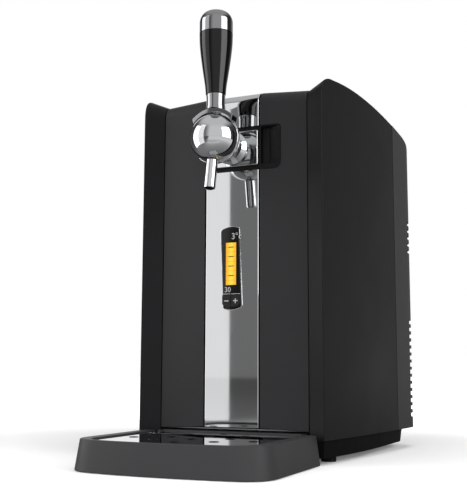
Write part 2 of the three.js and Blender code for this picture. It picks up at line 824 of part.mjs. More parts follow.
function bezelOutline(grow) {
  const left = -stripHalfWidth;
  const right = bezelReach + grow;
  const low = bezelBottom - grow;
  const high = bezelTop + grow;
  return [
    v2(left, low),
    ...bend(v2(right - bezelLowerCorner, low), v2(right, low), v2(right, low + bezelLowerCorner), arcSteps),
    ...bend(v2(right, high - bezelUpperCorner), v2(right, high), v2(right - bezelUpperCorner, high), arcSteps),
    v2(left, high),
  ];
}

function bezelCut() {
  return prismY(bezelOutline(seatGap), -cutOverrun, bezelRear + cutOverrun);
}

function hoodPanel(side) {
  const band = slopedBand(side, 0, panelThickness, panelHalfWidth, hoodRearDepth, ribbonBottom);
  return side > 0 ? band.subtract(bezelCut()) : band;
}

function pillOutline(grow) {
  const x = displayHalfWidth + grow;
  const low = displayBottom - grow;
  const high = displayTop + grow;
  return [
    ...bend(v2(-x, low + displayArch), v2(0, low - displayArch), v2(x, low + displayArch), arcSteps),
    ...bend(v2(x, high - displayArch), v2(0, high + displayArch), v2(-x, high - displayArch), arcSteps),
  ];
}

const stripBack = ribbonFront + stripThickness;

// The strip is in two lengths, below and above the bezel
function hoodStrip(low, high) {
  const band = ribbonBand(0, stripThickness, -stripHalfWidth, stripHalfWidth,
    hoodRearDepth, ribbonBottom);
  return band.intersect(box(-bodyHalfWidth, bodyHalfWidth, 0, bodyDepth, low, high))
    .subtract(prismY(pillOutline(seatGap), 0, stripBack + cutOverrun));
}

const frameNear = panelThickness + seatGap;
const frameFar = frameNear + frameThickness;

function hoodFrame() {
  const middle = ribbonBand(stripThickness + seatGap, frameFar, -stripHalfWidth, stripHalfWidth,
    hingeDepth, ribbonBottom + seatGap);
  const sides = [-1, 1].map((side) => slopedBand(side, frameNear, frameFar, frameHalfWidth,
    hingeDepth, ribbonBottom + seatGap));
  const barrel = rod('x', hingeBarrelRadius, -frameHalfWidth, frameHalfWidth,
    hingeDepth, hingeHeight, smallSides * 2);
  const pinHoles = rod('x', hingePinRadius + seatGap, -frameHalfWidth - cutOverrun,
    frameHalfWidth + cutOverrun, hingeDepth, hingeHeight, smallSides)
    .subtract(box(-frameHalfWidth + hingePinInset, frameHalfWidth - hingePinInset,
      0, bodyDepth, 0, wingCrownHeight));
  const bayCut = box(-stripHalfWidth - seatGap, bezelReach + seatGap, 0,
    bezelRear + cutOverrun, bezelBottom - seatGap, bezelTop + seatGap);
  return join(middle, ...sides, barrel).subtract(pinHoles).subtract(bayCut);
}

// Finger pocket beside the tap: a flat floor and a slanted outer wall
function fingerPocket() {
  const low = bezelBottom + pocketBottomMargin;
  const high = bezelTop - pocketTopMargin;
  const ring = (y, end) => [
    new THREE.Vector3(pocketStart, y, low),
    new THREE.Vector3(end, y, low),
    new THREE.Vector3(end, y, high),
    new THREE.Vector3(pocketStart, y, high),
  ];
  return loft([
    ring(bezelFront - cutOverrun, pocketMouthEnd),
    ring(bezelFront, pocketMouthEnd),
    ring(bezelFront + pocketDepth, pocketFloorEnd),
  ]);
}

function gripBezel() {
  return prismY(bezelOutline(0), bezelFront, bezelRear).subtract(fingerPocket());
}

// Tap
const basePlateFront = ribbonFront - basePlateProud;
const ballDepth = ribbonFront - ballReach;

function tapBasePlate() {
  return box(-stripHalfWidth + seatGap, stripHalfWidth - seatGap, basePlateFront,
    basePlateFront + basePlateThickness, bezelBottom + basePlateBottomBand,
    bezelTop - basePlateTopBand);
}

function tapShank() {
  const rear = basePlateFront - seatGap;
  const front = ballDepth + ballRadius / 2;
  const length = rear - front;
  const share = (part) => front + length * part;
  const profile = [
    v2(0, front), v2(shankWaistRadius, front), v2(shankWaistRadius, share(shankWaistShare)),
    ...shankSwellShares.map(([along, swell]) => v2(shankWaistRadius * swell, share(along))),
    v2(shankFlareRadius, rear), v2(0, rear),
  ];
  return turnedAlongY(profile, 0, 0, tapHeight)
    .subtract(ball(ballRadius + seatGap, 0, ballDepth, tapHeight));
}

const partingDepth = ballDepth + ballPartingSetback;

function tapHousing() {
  return ball(ballRadius, 0, ballDepth, tapHeight)
    .intersect(box(-ballReach, ballReach, partingDepth, ribbonFront,
      tapHeight - ballReach, tapHeight + ballReach));
}

function tapBallFront() {
  return ball(ballRadius - ballStepBack, 0, ballDepth, tapHeight)
    .intersect(box(-ballReach, ballReach, ballDepth - ballReach, partingDepth - seatGap,
      tapHeight - ballReach, tapHeight + ballReach));
}

function tapSpout() {
  const inner = spoutRadius - spoutWall;
  const bottom = -ballRadius - spoutLength;
  const top = -ballRadius / 2;
  const profile = [
    v2(inner, bottom), v2(spoutRadius, bottom), v2(spoutRadius, top), v2(inner, top), v2(inner, bottom),
  ];
  const tube = new THREE.LatheGeometry(profile, roundSides);
  tube.rotateX(Math.PI / 2);
  tube.rotateX(-spoutTilt);
  tube.translate(0, ballDepth - ballStepBack, tapHeight);
  return solidOf(tube).subtract(ball(ballRadius + seatGap, 0, ballDepth, tapHeight));
}

const yokeInner = ballRadius + seatGap + seatGap;
const yokeTop = yokeInner + yokeThickness;

function handleYoke() {
  const steps = roundSides / 2;
  const arc = (radius, first, last) => Array.from({ length: steps + 1 }, (_, i) => {
    const angle = THREE.MathUtils.lerp(first, last, i / steps);
    return v2(radius * Math.cos(angle), tapHeight + radius * Math.sin(angle));
  });
  const outline = [...arc(yokeTop, yokeOuterEnd, Math.PI - yokeOuterEnd),
    ...arc(yokeInner, Math.PI - yokeInnerEnd, yokeInnerEnd)];
  return prismY(outline, ballDepth - yokeHalfDepth, ballDepth + yokeHalfDepth);
}

const neckBottom = tapHeight + yokeTop + seatGap;
const neckTop = neckBottom + neckLength;
const gripBottom = neckTop + seatGap;
const gripTop = gripBottom + gripLength;
const capBottom = gripTop + seatGap;
const rodTop = gripBottom + gripLength / 2;
const handleDepth = ballDepth + handleSetback;

// The neck's foot is hollowed to sit on the yoke
function handleNeck() {
  const foot = neckBottom - neckSkirt;
  const profile = [
    v2(0, foot), v2(neckRadius, foot), v2(neckRadius, neckTop),
    v2(handleRodRadius, neckTop), v2(handleRodRadius, rodTop), v2(0, rodTop),
  ];
  return turnedAlongZ(profile, 0, handleDepth, 0)
    .subtract(rod('y', yokeTop + seatGap, ballDepth - ballReach, ribbonFront, 0, tapHeight));
}

function handleGrip() {
  const swell = gripSwellShares.map(([along, share]) => v2(
    THREE.MathUtils.lerp(gripBottomRadius, gripTopRadius, share), gripBottom + gripLength * along));
  const bore = handleRodRadius + seatGap;
  const profile = [
    v2(bore, gripBottom), v2(gripBottomRadius, gripBottom), ...swell, v2(gripTopRadius, gripTop),
    v2(0, gripTop), v2(0, rodTop + seatGap), v2(bore, rodTop + seatGap), v2(bore, gripBottom),
  ];
  return turnedAlongZ(profile, 0, handleDepth, 0);
}

function handleCap() {
  const side = capHeight - capDomeHeight;
  const dome = Array.from({ length: arcSteps }, (_, i) => {
    const angle = (i + 1) / arcSteps * Math.PI / 2;
    return v2(capRadius * Math.cos(angle) ** capDomePower,
      capBottom + side + capDomeHeight * Math.sin(angle));
  });
  dome[arcSteps - 1].x = 0;
  const profile = [v2(0, capBottom), v2(capRadius, capBottom), v2(capRadius, capBottom + side), ...dome];
  return turnedAlongZ(profile, 0, handleDepth, 0);
}

function tapInlet() {
  const front = bezelRear + seatGap;
  return rod('y', inletTubeRadius, front, front + inletTubeLength, 0, tapHeight)
    .subtract(rod('y', inletBoreRadius, front - cutOverrun, front + inletTubeLength + cutOverrun,
      0, tapHeight, smallSides));
}

// Display and keys
const displayFront = ribbonFront - displayProud;
const keyBack = stripBack + seatGap - keyTravel - seatGap / 2;

function keyBox(side, grow, y0, y1) {
  return box(side * keySpacing - keyHalfWidth - grow, side * keySpacing + keyHalfWidth + grow, y0, y1,
    keyCentreHeight - keyHeight / 2 - grow, keyCentreHeight + keyHeight / 2 + grow);
}

function displayModule() {
  const pill = prismY(pillOutline(0), displayFront, stripBack);
  const mouths = [-1, 1].map((side) => keyBox(side, seatGap, 0, stripBack + cutOverrun));
  return pill.subtract(join(...mouths));
}

function controlKey(side) {
  return keyBox(side, 0, displayFront - keyProud, keyBack);
}

function controlBoard() {
  const front = ribbonFront + frameFar + seatGap;
  return box(-boardHalfWidth, boardHalfWidth, front, front + boardThickness, boardBottom, boardTop);
}

// Drip tray: drafted sides, bowed front, rounded corners, and a tongue that docks under the hood
function trayPlan(halfWidth, reach, corner, rear) {
  const start = halfWidth - corner;
  const bowed = -reach + trayBow * (start / halfWidth) ** 2;
  const slope = 2 * trayBow * start / halfWidth ** 2;
  const tip = bowed + slope * corner;
  const right = [
    ...bend(v2(0, -reach), v2(start / 2, -reach), v2(start, bowed), arcSteps),
    ...bend(v2(start, bowed), v2(halfWidth, tip), v2(halfWidth, tip + corner), arcSteps).slice(1),
    v2(halfWidth, rear),
  ];
  return [...right, ...mirrored(right).slice(0, -1)];
}

const trayRear = -slideGap;
const trayTopReach = trayReach - trayDraft;
const plateTop = trayHeight - plateRecess;
const plateBottom = plateTop - plateThickness;
const plateFrontReach = trayTopReach - frontRim;
const plateCorner = trayCorner - frontRim;
const plateRear = ribbonFront - plateHoodGap;

function ringAt(points, z) {
  return points.map((point) => new THREE.Vector3(point.x, point.y, z));
}

function dripTray() {
  const shell = loft([
    ringAt(trayPlan(trayTopHalfWidth + trayDraft, trayReach, trayCorner + trayDraft, trayRear), trayLift),
    ringAt(trayPlan(trayTopHalfWidth, trayTopReach, trayCorner, trayRear), trayHeight),
  ]);
  const tongue = box(-trayTongueHalfWidth, trayTongueHalfWidth, trayRear - trayCorner, trayTongueDepth,
    trayLift, trayHeight);
  const seat = prismZ(trayPlan(plateHalfWidth, plateFrontReach, plateCorner, trayRear),
    plateBottom - seatGap, trayHeight + cutOverrun);
  const tongueSeatHalf = trayTongueHalfWidth - tongueRim;
  const tongueSeat = box(-tongueSeatHalf, tongueSeatHalf, trayRear - trayCorner, plateRear,
    plateBottom - seatGap, trayHeight + cutOverrun);
  const basinFloor = trayLift + trayFloor;
  const basin = prismZ(trayPlan(plateHalfWidth - trayLedge, plateFrontReach - trayLedge,
    plateCorner - trayLedge, trayRear - trayLedge), basinFloor, trayHeight);
  return join(shell, tongue).subtract(join(seat, tongueSeat)).subtract(basin);
}

function dripPlate() {
  const fit = seatGap;
  const outline = prismZ(trayPlan(plateHalfWidth - fit, plateFrontReach - fit, plateCorner - fit,
    trayRear - fit), plateBottom, plateTop);
  const half = trayTongueHalfWidth - tongueRim - fit;
  const tail = box(-half, half, trayRear - trayCorner, plateRear - fit, plateBottom, plateTop);
  const columnPitch = holePitch * Math.sin(Math.PI / 3);
  const holes = [];
  for (const [column, count, shift] of holeColumns) {
    for (let row = 0; row < count; row += 1) {
      const y = -holeRearOffset - (row + shift) * holePitch;
      for (const side of column > 0 ? [-1, 1] : [1]) {
        holes.push(rod('z', holeRadius, plateBottom - cutOverrun, plateTop + cutOverrun,
          side * column * columnPitch, y, holeSides));
      }
    }
  }
  return join(outline, tail).subtract(join(...holes));
}

// Assembly
const machine = new THREE.Group();

function place(name, solid, material) {
  const mesh = new THREE.Mesh(geometryOf(solid), material);
  mesh.name = name;
  machine.add(mesh);
}

place('base_pan', basePan(), basePlastic);
for (const [sideName, side] of [['right', 1], ['left', -1]]) {
  place(`front_foot_${sideName}`, rubberFoot(frontFoot, side), rubber);
  place(`rear_foot_${sideName}`, rubberFoot(rearFoot, side), rubber);
}
place('side_shell_right', sideShell(1), darkPlastic);
place('side_shell_left', sideShell(-1), darkPlastic);
place('rear_cover', rearCover(), coverPlastic);
screwPlaces.forEach((spot, i) => place(`cover_screw_${i + 1}`, coverScrew(spot), steel));
place('inlet_socket', inletSocket(), blackPlastic);
place('power_supply', powerSupply(), blackPlastic);
place('chamber_liner', chamberLiner(), linerPlastic);
place('foam_right', foamBlock(1), foam);
place('foam_left', foamBlock(-1), foam);
place('foam_rear', rearFoam(), foam);
for (const [sideName, side] of [['right', 1], ['left', -1]]) {
  place(`hinge_bracket_${sideName}`, hingeBracket(side), steel);
  place(`hinge_pin_${sideName}`, hingePin(side), steel);
}
place('cooling_plate', box(-coolingPlateHalfWidth, coolingPlateHalfWidth, coolPlateFront,
  coolPlateRear,
  coolingPlateBottom, coolingPlateTop), aluminium);
place('cold_block', squareBlock(peltierHalfSize, coldFront, coldRear), aluminium);
place('peltier_module', squareBlock(peltierHalfSize, peltierFront, peltierRear), ceramic);
place('heat_sink', heatSink(), aluminium);
place('fan_housing', fanHousing(), blackPlastic);
place('fan_rotor', fanRotor(), blackPlastic);
place('hood_frame', hoodFrame(), blackPlastic);
place('hood_panel_right', hoodPanel(1), darkPlastic);
place('hood_panel_left', hoodPanel(-1), darkPlastic);
place('hood_strip_lower', hoodStrip(0, bezelBottom - seatGap), steel);
place('hood_strip_upper', hoodStrip(bezelTop + seatGap, wingCrownHeight), steel);
place('grip_bezel', gripBezel(), blackPlastic);
place('tap_base_plate', tapBasePlate(), chrome);
place('tap_shank', tapShank(), chrome);
place('tap_housing', tapHousing(), chrome);
place('tap_ball_front', tapBallFront(), chrome);
place('tap_spout', tapSpout(), chrome);
place('tap_inlet', tapInlet(), steel);
place('handle_yoke', handleYoke(), chrome);
place('handle_neck', handleNeck(), chrome);
place('handle_grip', handleGrip(), glossBlack);
place('handle_cap', handleCap(), chrome);
place('display_module', displayModule(), glossBlack);
place('minus_key', controlKey(-1), blackPlastic);
place('plus_key', controlKey(1), blackPlastic);
place('control_board', controlBoard(), board);
place('drip_tray', dripTray(), darkPlastic);
place('drip_plate', dripPlate(), steel);

machine.position.y = (trayReach - bodyDepth) / 2;

export default machine;
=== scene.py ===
import json
import math

import bpy
from mathutils import Matrix, Vector


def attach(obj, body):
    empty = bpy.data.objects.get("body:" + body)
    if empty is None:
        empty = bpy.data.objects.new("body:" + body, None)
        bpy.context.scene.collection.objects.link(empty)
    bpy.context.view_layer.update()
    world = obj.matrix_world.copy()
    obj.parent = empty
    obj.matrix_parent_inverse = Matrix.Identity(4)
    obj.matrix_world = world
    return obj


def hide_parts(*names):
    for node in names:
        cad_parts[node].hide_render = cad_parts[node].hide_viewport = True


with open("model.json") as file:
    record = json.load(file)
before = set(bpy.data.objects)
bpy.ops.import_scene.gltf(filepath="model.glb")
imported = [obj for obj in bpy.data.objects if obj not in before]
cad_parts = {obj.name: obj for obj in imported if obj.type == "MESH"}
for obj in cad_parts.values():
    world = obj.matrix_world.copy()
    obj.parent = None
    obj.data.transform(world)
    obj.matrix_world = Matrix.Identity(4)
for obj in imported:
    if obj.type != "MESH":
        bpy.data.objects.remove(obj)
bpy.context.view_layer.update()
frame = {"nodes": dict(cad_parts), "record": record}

MM = 0.001
ROW_SHIFT = -70.75
MERGE = 0.00001

# Body shells
FRONT_HALF = 105.7
BODY_HALF = 137.7
BODY_DEPTH = 296.0
REAR_CORNER = 40.0
REAR_FLAT = 96.0
SEAM = 202.0
SHELL_BOTTOM = 24.5
WALL = 3.0
WING_WALL = 2.3
WING_ROUND = 2.2
RETURN_DEPTH = 9.0
BARREL_ACROSS = 0.68
BARREL_ALONG = 0.46
TAIL_CHAMFER = 9.0
SEAT_GAP = 0.3
SEAM_GAP = 3.0
LIP_SINK = 0.25
LIP_WALL = 2.4
LIP_OVERLAP = 0.2
CHANNEL_HALF = 86.2

# Side view of the wings' top edge and of the ribbon between them: depth and height
WING_NOSE = ((0, 379), (0, 405.7), (30.4, 405.7))
WING_CROWN = ((30.4, 405.7), (101.3, 413.5), (238, 393.2))
WING_TAIL = ((238, 393.2), (296, 383), (296, 334.4))
RIBBON_FRONT = 9.7
RIBBON_BOTTOM = 34.5
RIBBON_NOSE = ((9.7, 381), (9.7, 398.9), (28.4, 398.9))
RIBBON_CROWN = ((28.4, 398.9), (101.3, 405.3), (231, 385))
RIBBON_TAIL = ((231, 385), (296, 374), (296, 334.4))
STRIP_HALF = 31.15
PANEL_HALF = 85.4
PANEL_SLOPE = 0.0645
PANEL_DROP = 0.0525
HOOD_REAR = 188.5

# Tap
TAP_HEIGHT = 335.4
BALL_DEPTH = -36.3
BALL_RADIUS = 26.7
HANDLE_DEPTH = -33.9


def at(x, y, z):
    """A place in the frame of the solids, in metres."""
    return Vector((x, y + ROW_SHIFT, z)) * MM


def back_by(depth):
    """A run towards the rear, in metres."""
    return Vector((0, depth, 0)) * MM


def up_by(height):
    """A run upwards, in metres."""
    return Vector((0, 0, height)) * MM


# Hand tools
def deselect():
    bpy.ops.object.select_all(action="DESELECT")


def only(piece):
    """Selects one piece and nothing else."""
    deselect()
    piece.select_set(True)
    bpy.context.view_layer.objects.active = piece


def edit(piece, select="SELECT"):
    """Opens a piece for editing, with all its points selected or none."""
    only(piece)
    bpy.ops.object.mode_set(mode="EDIT")
    bpy.ops.mesh.select_mode(type="VERT")
    bpy.ops.mesh.select_all(action=select)


def leave():
    bpy.ops.object.mode_set(mode="OBJECT")


def draw_line(name, points):
    """A chain of edges, drawn point by point."""
    deselect()
    bpy.ops.mesh.primitive_plane_add(size=MM, location=(0, 0, 0))
    line = bpy.context.object
    line.name = name
    edit(line)
    bpy.ops.mesh.merge(type="CENTER")
    bpy.ops.transform.translate(value=points[0])
    for before, after in zip(points, points[1:]):
        bpy.ops.mesh.extrude_vertices_move(TRANSFORM_OT_translate={"value": after - before})
    leave()
    return line


def tidy_mesh(piece):
    """Merges points that lie on each other and turns the faces outwards."""
    edit(piece)
    bpy.ops.mesh.remove_doubles(threshold=MERGE)
    bpy.ops.mesh.normals_make_consistent(inside=False)
    leave()


def draw_block(name, outline, depth, far=None):
    """A closed outline pulled out into a block; far gives the outline at the other end."""
    block = draw_line(name, outline)
    edit(block)
    bpy.ops.mesh.edge_face_add()
    bpy.ops.mesh.extrude_region_move(TRANSFORM_OT_translate={"value": depth})
    leave()
    if far:
        for vertex in block.data.vertices:
            if vertex.select:
                near = min(range(len(outline)), key=lambda i: (outline[i] + depth - vertex.co).length)
                vertex.co = far[near]
    tidy_mesh(block)
    return block


def turn(name, profile, axis, centre, steps=64):
    """A profile of (radius, distance along the axis) turned into a solid."""
    along = Vector(axis).normalized()
    across = along.orthogonal().normalized()
    points = [centre + (across * radius + along * distance) * MM for radius, distance in profile]
    piece = draw_line(name, points)
    edit(piece)
    bpy.ops.mesh.spin(steps=steps, angle=math.tau, center=centre, axis=along)
    leave()
    tidy_mesh(piece)
    return piece


def apply(piece, tool):
    only(piece)
    bpy.ops.object.modifier_apply(modifier=tool.name)


def cut(piece, cutter, operation="DIFFERENCE"):
    """Cuts one piece out of another, or joins it on, and uses it up."""
    tool = piece.modifiers.new("cut", "BOOLEAN")
    tool.operation = operation
    tool.solver = "EXACT"
    tool.object = cutter
    apply(piece, tool)
    bpy.data.objects.remove(cutter)


def soften(piece, width, segments=3, angle=40):
    """Rounds the edges that are sharper than an angle in degrees."""
    tool = piece.modifiers.new("soften", "BEVEL")
    tool.width = width * MM
    tool.segments = segments
    tool.limit_method = "ANGLE"
    tool.angle_limit = math.radians(angle)
    tool.miter_outer = "MITER_ARC"
    apply(piece, tool)


def thicken(piece, thickness, even=True):
    """Gives a sheet a wall on its inner side."""
    tool = piece.modifiers.new("wall", "SOLIDIFY")
    tool.thickness = thickness * MM
    tool.offset = -1
    tool.use_even_offset = even
    apply(piece, tool)


def box(name, x0, x1, y0, y1, z0, z1):
    deselect()
    low, high = at(x0, y0, z0), at(x1, y1, z1)
    bpy.ops.mesh.primitive_cube_add(size=1, location=(low + high) / 2, scale=high - low)
    bpy.ops.object.transform_apply()
    block = bpy.context.object
    block.name = name
    return block


def shape_grid(name, columns, rows, place):
    """A grid whose points are put in their places by a rule."""
    deselect()
    bpy.ops.mesh.primitive_grid_add(x_subdivisions=columns, y_subdivisions=rows, size=1)
    sheet = bpy.context.object
    sheet.name = name
    for vertex in sheet.data.vertices:
        i = round((vertex.co.x + 0.5) * columns)
        j = round((vertex.co.y + 0.5) * rows)
        vertex.co = place(i, j)
    return sheet


def merge_pieces(first, *others):
    only(first)
    for other in others:
        other.select_set(True)
    bpy.ops.object.join()
    return first


def face_towards(sheet, direction):
    """Joins the sheet's seams and turns all its faces to one side."""
    tidy_mesh(sheet)
    facing = sum((face.normal * face.area for face in sheet.data.polygons), Vector())
    if facing.dot(Vector(direction)) < 0:
        edit(sheet)
        bpy.ops.mesh.flip_normals()
        leave()


def delete_faces(piece, inside):
    """Removes the faces whose middle passes a test, given in millimetres."""
    edit(piece, "DESELECT")
    bpy.ops.mesh.select_mode(type="FACE")
    leave()
    for face in piece.data.polygons:
        centre = face.center / MM
        face.select = inside(centre.x, centre.y - ROW_SHIFT, centre.z)
    bpy.ops.object.mode_set(mode="EDIT")
    bpy.ops.mesh.delete(type="FACE")
    leave()


def slice_off(piece, point, direction):
    """Cuts away what lies beyond a plane."""
    edit(piece)
    bpy.ops.mesh.bisect(plane_co=point, plane_no=direction, clear_outer=True)
    leave()


def mirrored(piece, name):
    """The same piece on the other side of the middle."""
    other = piece.copy()
    other.data = piece.data.copy()
    other.name = name
    bpy.context.collection.objects.link(other)
    for vertex in other.data.vertices:
        vertex.co.x = -vertex.co.x
    edit(other)
    bpy.ops.mesh.flip_normals()
    leave()
    return other


def finish(piece, name, body, material, *nodes, slot=None, angle=35):
    """Smooths a piece, gives it its name, finish and body, and lets it stand for its solids."""
    only(piece)
    bpy.ops.object.transform_apply()
    bpy.ops.object.shade_smooth_by_angle(angle=math.radians(angle))
    tool = piece.modifiers.new("flats", "WEIGHTED_NORMAL")
    tool.keep_sharp = True
    tool.weight = 80
    apply(piece, tool)
    piece.name = name
    piece.data.name = name
    piece.data.materials.clear()
    piece.data.materials.append(materials[material])
    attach(piece, body)
    if nodes:
        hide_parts(*nodes)


# Curves
def bend(curve, steps, first=0.0, last=1.0):
    """Points along a curve of start, control and end, between two shares of it."""
    start, control, end = curve
    points = []
    for i in range(steps + 1):
        t = first + (last - first) * i / steps
        points.append(tuple(
            a * (1 - t) ** 2 + 2 * b * t * (1 - t) + c * t * t
            for a, b, c in zip(start, control, end)))
    return points


def share_at(curve, depth):
    """The share along a curve where it reaches a depth."""
    low, high = 0.0, 1.0
    for _ in range(40):
        middle = (low + high) / 2
        if point_at(curve, middle)[0] < depth:
            low = middle
        else:
            high = middle
    return low


def point_at(curve, share):
    return bend(curve, 1, share, share)[0]


def half_width(depth):
    """Half the width of the barrel-shaped body at a depth."""
    corner = BODY_DEPTH - REAR_CORNER
    if depth > corner:
        t = 1 - math.sqrt(max((BODY_DEPTH - depth) / REAR_CORNER, 0))
        return BODY_HALF - (BODY_HALF - REAR_FLAT) * t * t
    side = ((0, FRONT_HALF),
            (corner * BARREL_ALONG, FRONT_HALF + (BODY_HALF - FRONT_HALF) * BARREL_ACROSS),
            (corner, BODY_HALF))
    return point_at(side, share_at(side, depth))[1]


def fall_back(x):
    """How far the ribbon has fallen back and down at a distance from the middle."""
    beyond = max(abs(x) - STRIP_HALF, 0)
    return beyond * PANEL_SLOPE, -beyond * PANEL_DROP


def rounded_box(x0, x1, z0, z1, radii, steps=8):
    """An upright outline of (x, z) from the lower right corner on, with its own corner radii."""
    outline = []
    corners = [(x1, z0, 1, -1), (x1, z1, 1, 1), (x0, z1, -1, 1), (x0, z0, -1, -1)]
    for number, (x, z, side_x, side_z) in enumerate(corners):
        radius = radii[number]
        count = steps if radius else 0
        for step in range(count + 1):
            angle = (number - 1 + (step / steps if count else 0)) * math.pi / 2
            outline.append((x - side_x * radius + radius * math.cos(angle),
                            z - side_z * radius + radius * math.sin(angle)))
    return outline


def upright(outline, depth):
    """An outline of (x, z) at a depth."""
    return [at(x, depth, z) for x, z in outline]


def smoothstep(value, low, high):
    share = min(max((value - low) / (high - low), 0), 1)
    return share * share * (3 - 2 * share)


# Shared finish effects
def new_group(name, outputs, **inputs):
    """A group of nodes with named inputs, each with its usual value, and named outputs."""
    group = bpy.data.node_groups.new(name, "ShaderNodeTree")
    for label, value in inputs.items():
        kind = "NodeSocketVector" if isinstance(value, tuple) else "NodeSocketFloat"
        group.interface.new_socket(name=label, in_out="INPUT", socket_type=kind).default_value = value
    for label in outputs:
        group.interface.new_socket(name=label, in_out="OUTPUT", socket_type="NodeSocketFloat")
    return group, group.nodes.new("NodeGroupInput").outputs, group.nodes.new("NodeGroupOutput").inputs


def add(tree, kind, **settings):
    """A shader node of a kind, with its settings."""
    node = tree.nodes.new("ShaderNode" + kind)
    for label, value in settings.items():
        setattr(node, label, value)
    return node


def feed(tree, sockets, values):
    """Gives sockets, by name or number, their plain values or links."""
    for key, value in values.items():
        if isinstance(value, bpy.types.NodeSocket):
            tree.links.new(value, sockets[key])
        else:
            sockets[key].default_value = value


def noise(tree, vector, scale, detail, roughness):
    node = add(tree, "TexNoise")
    feed(tree, node.inputs, {"Vector": vector, "Scale": scale, "Detail": detail, "Roughness": roughness})
    return node.outputs["Fac"]


def maths(tree, operation, *values):
    """One sum on plain values or linked outputs."""
    node = add(tree, "Math", operation=operation)
    feed(tree, node.inputs, dict(enumerate(values)))
    return node.outputs[0]


def ease(tree, value, low, high):
    """A smooth step from 0 at low to 1 at high."""
    step = add(tree, "MapRange", interpolation_type="SMOOTHSTEP")
    feed(tree, step.inputs, {"Value": value, "From Min": low, "From Max": high})
    return step.outputs["Result"]


def directions(tree, output):
    """Texture coordinates and their three parts."""
    place = add(tree, "TexCoord").outputs[output]
    parts = add(tree, "SeparateXYZ")
    feed(tree, parts.inputs, {0: place})
    return place, parts.outputs


def make_grain():
    """Spark-eroded grain of moulded plastic: fine pits over a soft waviness."""
    group, inputs, outputs = new_group("moulded_grain", ("Height", "Mask"), Scale=1400.0, Pits=0.6)
    place = add(group, "TexCoord").outputs["Object"]
    fine = noise(group, place, inputs["Scale"], 3.0, 0.6)
    pits = add(group, "TexVoronoi", feature="F1")
    feed(group, pits.inputs, {"Vector": place, "Scale": inputs["Scale"]})
    pitted = maths(group, "MULTIPLY", pits.outputs["Distance"], inputs["Pits"])
    feed(group, outputs, {"Height": maths(group, "ADD", fine, pitted), "Mask": fine})
    return group


def make_drift():
    """Slow unevenness of a large surface, between two values."""
    group, inputs, outputs = new_group("slow_drift", ("Value", "Mask"), Scale=9.0, From=0.4, To=0.5)
    place = add(group, "TexCoord").outputs["Object"]
    cloud = noise(group, place, inputs["Scale"], 4.0, 0.55)
    spread = add(group, "MapRange")
    feed(group, spread.inputs, {"Value": cloud, "From Min": 0.3, "From Max": 0.7,
                                "To Min": inputs["From"], "To Max": inputs["To"]})
    feed(group, outputs, {"Value": spread.outputs["Result"], "Mask": cloud})
    return group


def make_brushing():
    """Fine lines along one direction of a metal sheet."""
    group, inputs, outputs = new_group("brushed_lines", ("Height",), Stretch=(900.0, 900.0, 6.0))
    scaled = add(group, "VectorMath", operation="MULTIPLY")
    feed(group, scaled.inputs, {0: add(group, "TexCoord").outputs["Object"], 1: inputs["Stretch"]})
    feed(group, outputs, {"Height": noise(group, scaled.outputs["Vector"], 1.0, 4.0, 0.7)})
    return group


effects = {"grain": make_grain(), "drift": make_drift(), "brushing": make_brushing()}


def use(tree, effect, **values):
    """The outputs of a shared effect that has been given a finish's own values."""
    node = add(tree, "Group", node_tree=effects[effect])
    feed(tree, node.inputs, values)
    return node.outputs


# Finishes
GRAIN_DEPTH = 0.0001
BRUSHED_DEPTH = 0.00005
materials = {}


def new_finish(name, **values):
    """A finish under a name, with plain values set on its shader; gives its tree and sockets."""
    material = bpy.data.materials.new(name)
    material.use_nodes = True
    sockets = material.node_tree.nodes["Principled BSDF"].inputs
    feed(material.node_tree, sockets, {label.replace("_", " "): value for label, value in values.items()})
    materials[name] = material
    return material.node_tree, sockets


def tint(tree, mask, first, second):
    """A colour that goes from first to second with a mask."""
    blend = add(tree, "Mix", data_type="RGBA")
    feed(tree, blend.inputs, {0: mask, 6: (*first, 1), 7: (*second, 1)})
    return blend.outputs[2]


def bump(tree, height, strength, distance):
    """Small relief from a height that changes over the surface."""
    relief = add(tree, "Bump")
    feed(tree, relief.inputs, {"Strength": strength, "Distance": distance, "Height": height})
    return relief.outputs["Normal"]


def plastic(name, dark, light, rough, scale=1400.0, strength=0.25, level=0.3, pits=0.6):
    """Grained moulded plastic, a little uneven in tone and sheen."""
    tree, sockets = new_finish(name, Specular_IOR_Level=level)
    grain = use(tree, "grain", Scale=scale, Pits=pits)
    drift = use(tree, "drift", From=rough[0], To=rough[1])
    feed(tree, sockets, {"Base Color": tint(tree, drift["Mask"], dark, light), "Roughness": drift["Value"],
                         "Normal": bump(tree, grain["Height"], strength, GRAIN_DEPTH)})


def metal(name, dark, light, rough, stretch=None, strength=None):
    """Bare or plated metal with faint wipe marks, or brushed along a direction."""
    tree, sockets = new_finish(name, Metallic=1.0)
    drift = use(tree, "drift", Scale=30.0, From=rough[0], To=rough[1])
    mask = use(tree, "brushing", Stretch=stretch)["Height"] if stretch else drift["Mask"]
    feed(tree, sockets, {"Base Color": tint(tree, mask, dark, light), "Roughness": drift["Value"]})
    if strength:
        feed(tree, sockets, {"Normal": bump(tree, mask, strength, BRUSHED_DEPTH)})


def glow(name, edge, middle, half):
    """A lit window, brighter along its middle line."""
    tree, sockets = new_finish(name, Roughness=0.3, Emission_Strength=1.0, Base_Color=(0.02, 0.012, 0.0, 1))
    _, parts = directions(tree, "Object")
    away = maths(tree, "ABSOLUTE", parts["X"])
    feed(tree, sockets, {"Emission Color": tint(tree, ease(tree, away, 0, half * MM), middle, edge)})


